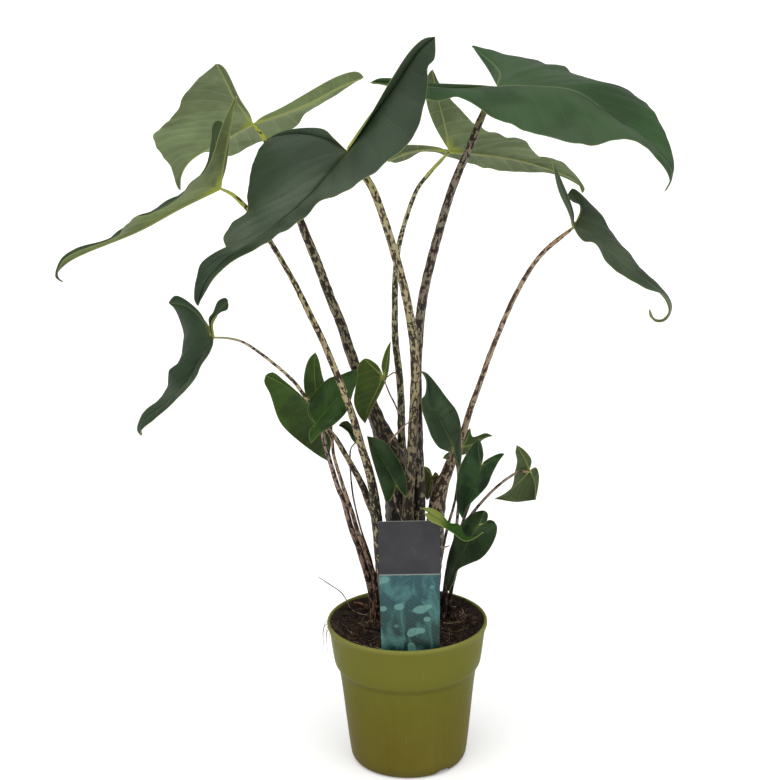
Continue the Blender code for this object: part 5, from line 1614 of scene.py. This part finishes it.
def add_soil_details():
    """Crumbs, chips, fibres and fine roots. The order of the random draws matters."""
    random = np.random.default_rng(SEED)
    add_crumbs("soil_crumbs", soil_finish("soil_crumb"), random, **CRUMBS)
    add_crumbs("soil_chips", soil_finish("soil_chip"), random, **CHIPS)
    fibres = fibre_lines(random, **FIBRES) + lip_lines()
    joined_tubes("soil_fibres", fibres, FIBRE_RADII, dry_finish("fibre"), FIBRE_SIDES)
    roots = fibre_lines(random, **FINE_ROOTS)
    joined_tubes("fine_roots", roots, FIBRE_RADII, dry_finish("fine_root"), FIBRE_SIDES)


def label_outline():
    """The card's outline in x and z, with round top corners and a spike below."""
    x, _ = LABEL_PLACE
    points = []
    for side, start in ((-1, 180.0), (1, 90.0)):
        corner_x = side * (LABEL_TOP_WIDTH / 2.0 - LABEL_CORNER)
        for step in range(CORNER_STEPS + 1):
            angle = math.radians(start - 90.0 * step / CORNER_STEPS)
            px = corner_x + LABEL_CORNER * math.cos(angle)
            pz = LABEL_TOP - LABEL_CORNER + LABEL_CORNER * math.sin(angle)
            points.append((x + px, pz))
    points += [
        (x + LABEL_LOW_WIDTH / 2.0, LABEL_SHOULDER),
        (x + SPIKE_WIDTH / 2.0, SPIKE_TOP),
        (x + SPIKE_TIP_WIDTH / 2.0, SPIKE_BOTTOM),
        (x - SPIKE_TIP_WIDTH / 2.0, SPIKE_BOTTOM),
        (x - SPIKE_WIDTH / 2.0, SPIKE_TOP),
        (x - LABEL_LOW_WIDTH / 2.0, LABEL_SHOULDER),
    ]
    return points


def add_label():
    """The card with its print in front and plain paper on its back and edges."""
    outline = label_outline()
    count = len(outline)
    half = LABEL_THICKNESS / 2.0
    points = [(x, LABEL_PLACE[1] + shift, z) for shift in (-half, half) for x, z in outline]
    # The outline runs clockwise seen from the front
    front = tuple(reversed(range(count)))
    back = tuple(range(count, 2 * count))
    rim = []
    for step in range(count):
        after = (step + 1) % count
        rim.append((step, after, after + count, step + count))
    indices = [0] + [1] * (count + 1)
    finishes = [print_finish(), card_finish()]
    faces = [front, back, *rim]
    add_piece("plant_label", ["label"], points, faces, finishes, indices)


def add_dry_pieces():
    lying = []
    for x, y, z in SHEATH_PATH:
        lying.append((x, y, max(z, soil_height(x, y) + SHEATH_CLEARANCE)))
    foot = (ROOT_PATH[-1][0], ROOT_PATH[-1][1], SOIL_TOP - SOCKET_DEPTH)
    pieces = (
        ("brown_sheath", "dry_sheath", lying, SHEATH_RADII),
        ("dead_root", "old_root", [*ROOT_PATH, foot], ROOT_RADII),
    )
    for name, node, path, radii in pieces:
        line = smooth_line(path, np.linspace(0, 1, DRY_ROWS))
        widths, _ = radii_along(line, radii)
        points, faces, _ = tube(line, widths, DRY_SIDES, DRY_ROUGHNESS)
        add_piece(name, [node], points, faces, [dry_finish(node)])


def add_twig():
    joined_tubes("dry_twig", TWIGS, TWIG_RADII, dry_finish("dry_twig"), TWIG_SIDES)


def add_camera():
    down = math.radians(CAMERA_DOWN)
    roll = math.radians(CAMERA_ROLL)
    forward = Vector((0.0, math.cos(down), -math.sin(down)))
    level_up = Vector((0.0, math.sin(down), math.cos(down)))
    level_right = Vector((1.0, 0.0, 0.0))
    right = level_right * math.cos(roll) - level_up * math.sin(roll)
    up = level_up * math.cos(roll) + level_right * math.sin(roll)
    data = bpy.data.cameras.new("camera")
    data.sensor_fit = "HORIZONTAL"
    data.sensor_width = CAMERA_SENSOR
    data.lens = CAMERA_LENS
    data.clip_end = CAMERA_FAR
    camera = bpy.data.objects.new("camera", data)
    turn = Matrix((right, up, -forward)).transposed().to_4x4()
    camera.matrix_world = Matrix.Translation(CAMERA_EYE) @ turn
    bpy.context.scene.collection.objects.link(camera)
    bpy.context.scene.camera = camera


def add_studio():
    """A pale floor under a soft sky and two very soft suns."""
    for name, (strength, softness, azimuth, elevation) in SUNS.items():
        data = bpy.data.lights.new(name, "SUN")
        data.energy = strength
        data.angle = math.radians(softness)
        light = bpy.data.objects.new(name, data)
        a, e = math.radians(azimuth), math.radians(elevation)
        towards = Vector((math.sin(a) * math.cos(e), -math.cos(a) * math.cos(e), math.sin(e)))
        light.rotation_euler = towards.to_track_quat("Z", "Y").to_euler()
        bpy.context.scene.collection.objects.link(light)
    world = bpy.data.worlds.new("sky")
    world.use_nodes = True
    nodes = world.node_tree.nodes
    glow = nodes["Background"]
    glow.inputs["Color"].default_value = (1.0, 1.0, 1.0, 1.0)
    seen = nodes.new("ShaderNodeLightPath").outputs["Is Camera Ray"]
    level = nodes.new("ShaderNodeMapRange")
    level.inputs["To Min"].default_value = SKY_LEVEL
    level.inputs["To Max"].default_value = 1.0
    world.node_tree.links.new(seen, level.inputs["Value"])
    world.node_tree.links.new(level.outputs["Result"], glow.inputs["Strength"])
    bpy.context.scene.world = world
    half = FLOOR_SIZE / 2.0
    corners = [(-half, -half, 0.0), (half, -half, 0.0), (half, half, 0.0), (-half, half, 0.0)]
    mesh = bpy.data.meshes.new("floor")
    mesh.from_pydata(corners, [], [(0, 1, 2, 3)])
    mesh.materials.append(floor_finish())
    floor = bpy.data.objects.new("floor", mesh)
    bpy.context.scene.collection.objects.link(floor)
    bpy.context.scene.view_settings.view_transform = "Standard"


add_camera()
add_studio()
add_pot()
add_soil()
add_soil_details()
add_label()
add_dry_pieces()
add_twig()
for leaf, blade in BLADES.items():
    add_blade(leaf, blade)
    add_stem(leaf, STEMS[leaf], blade)
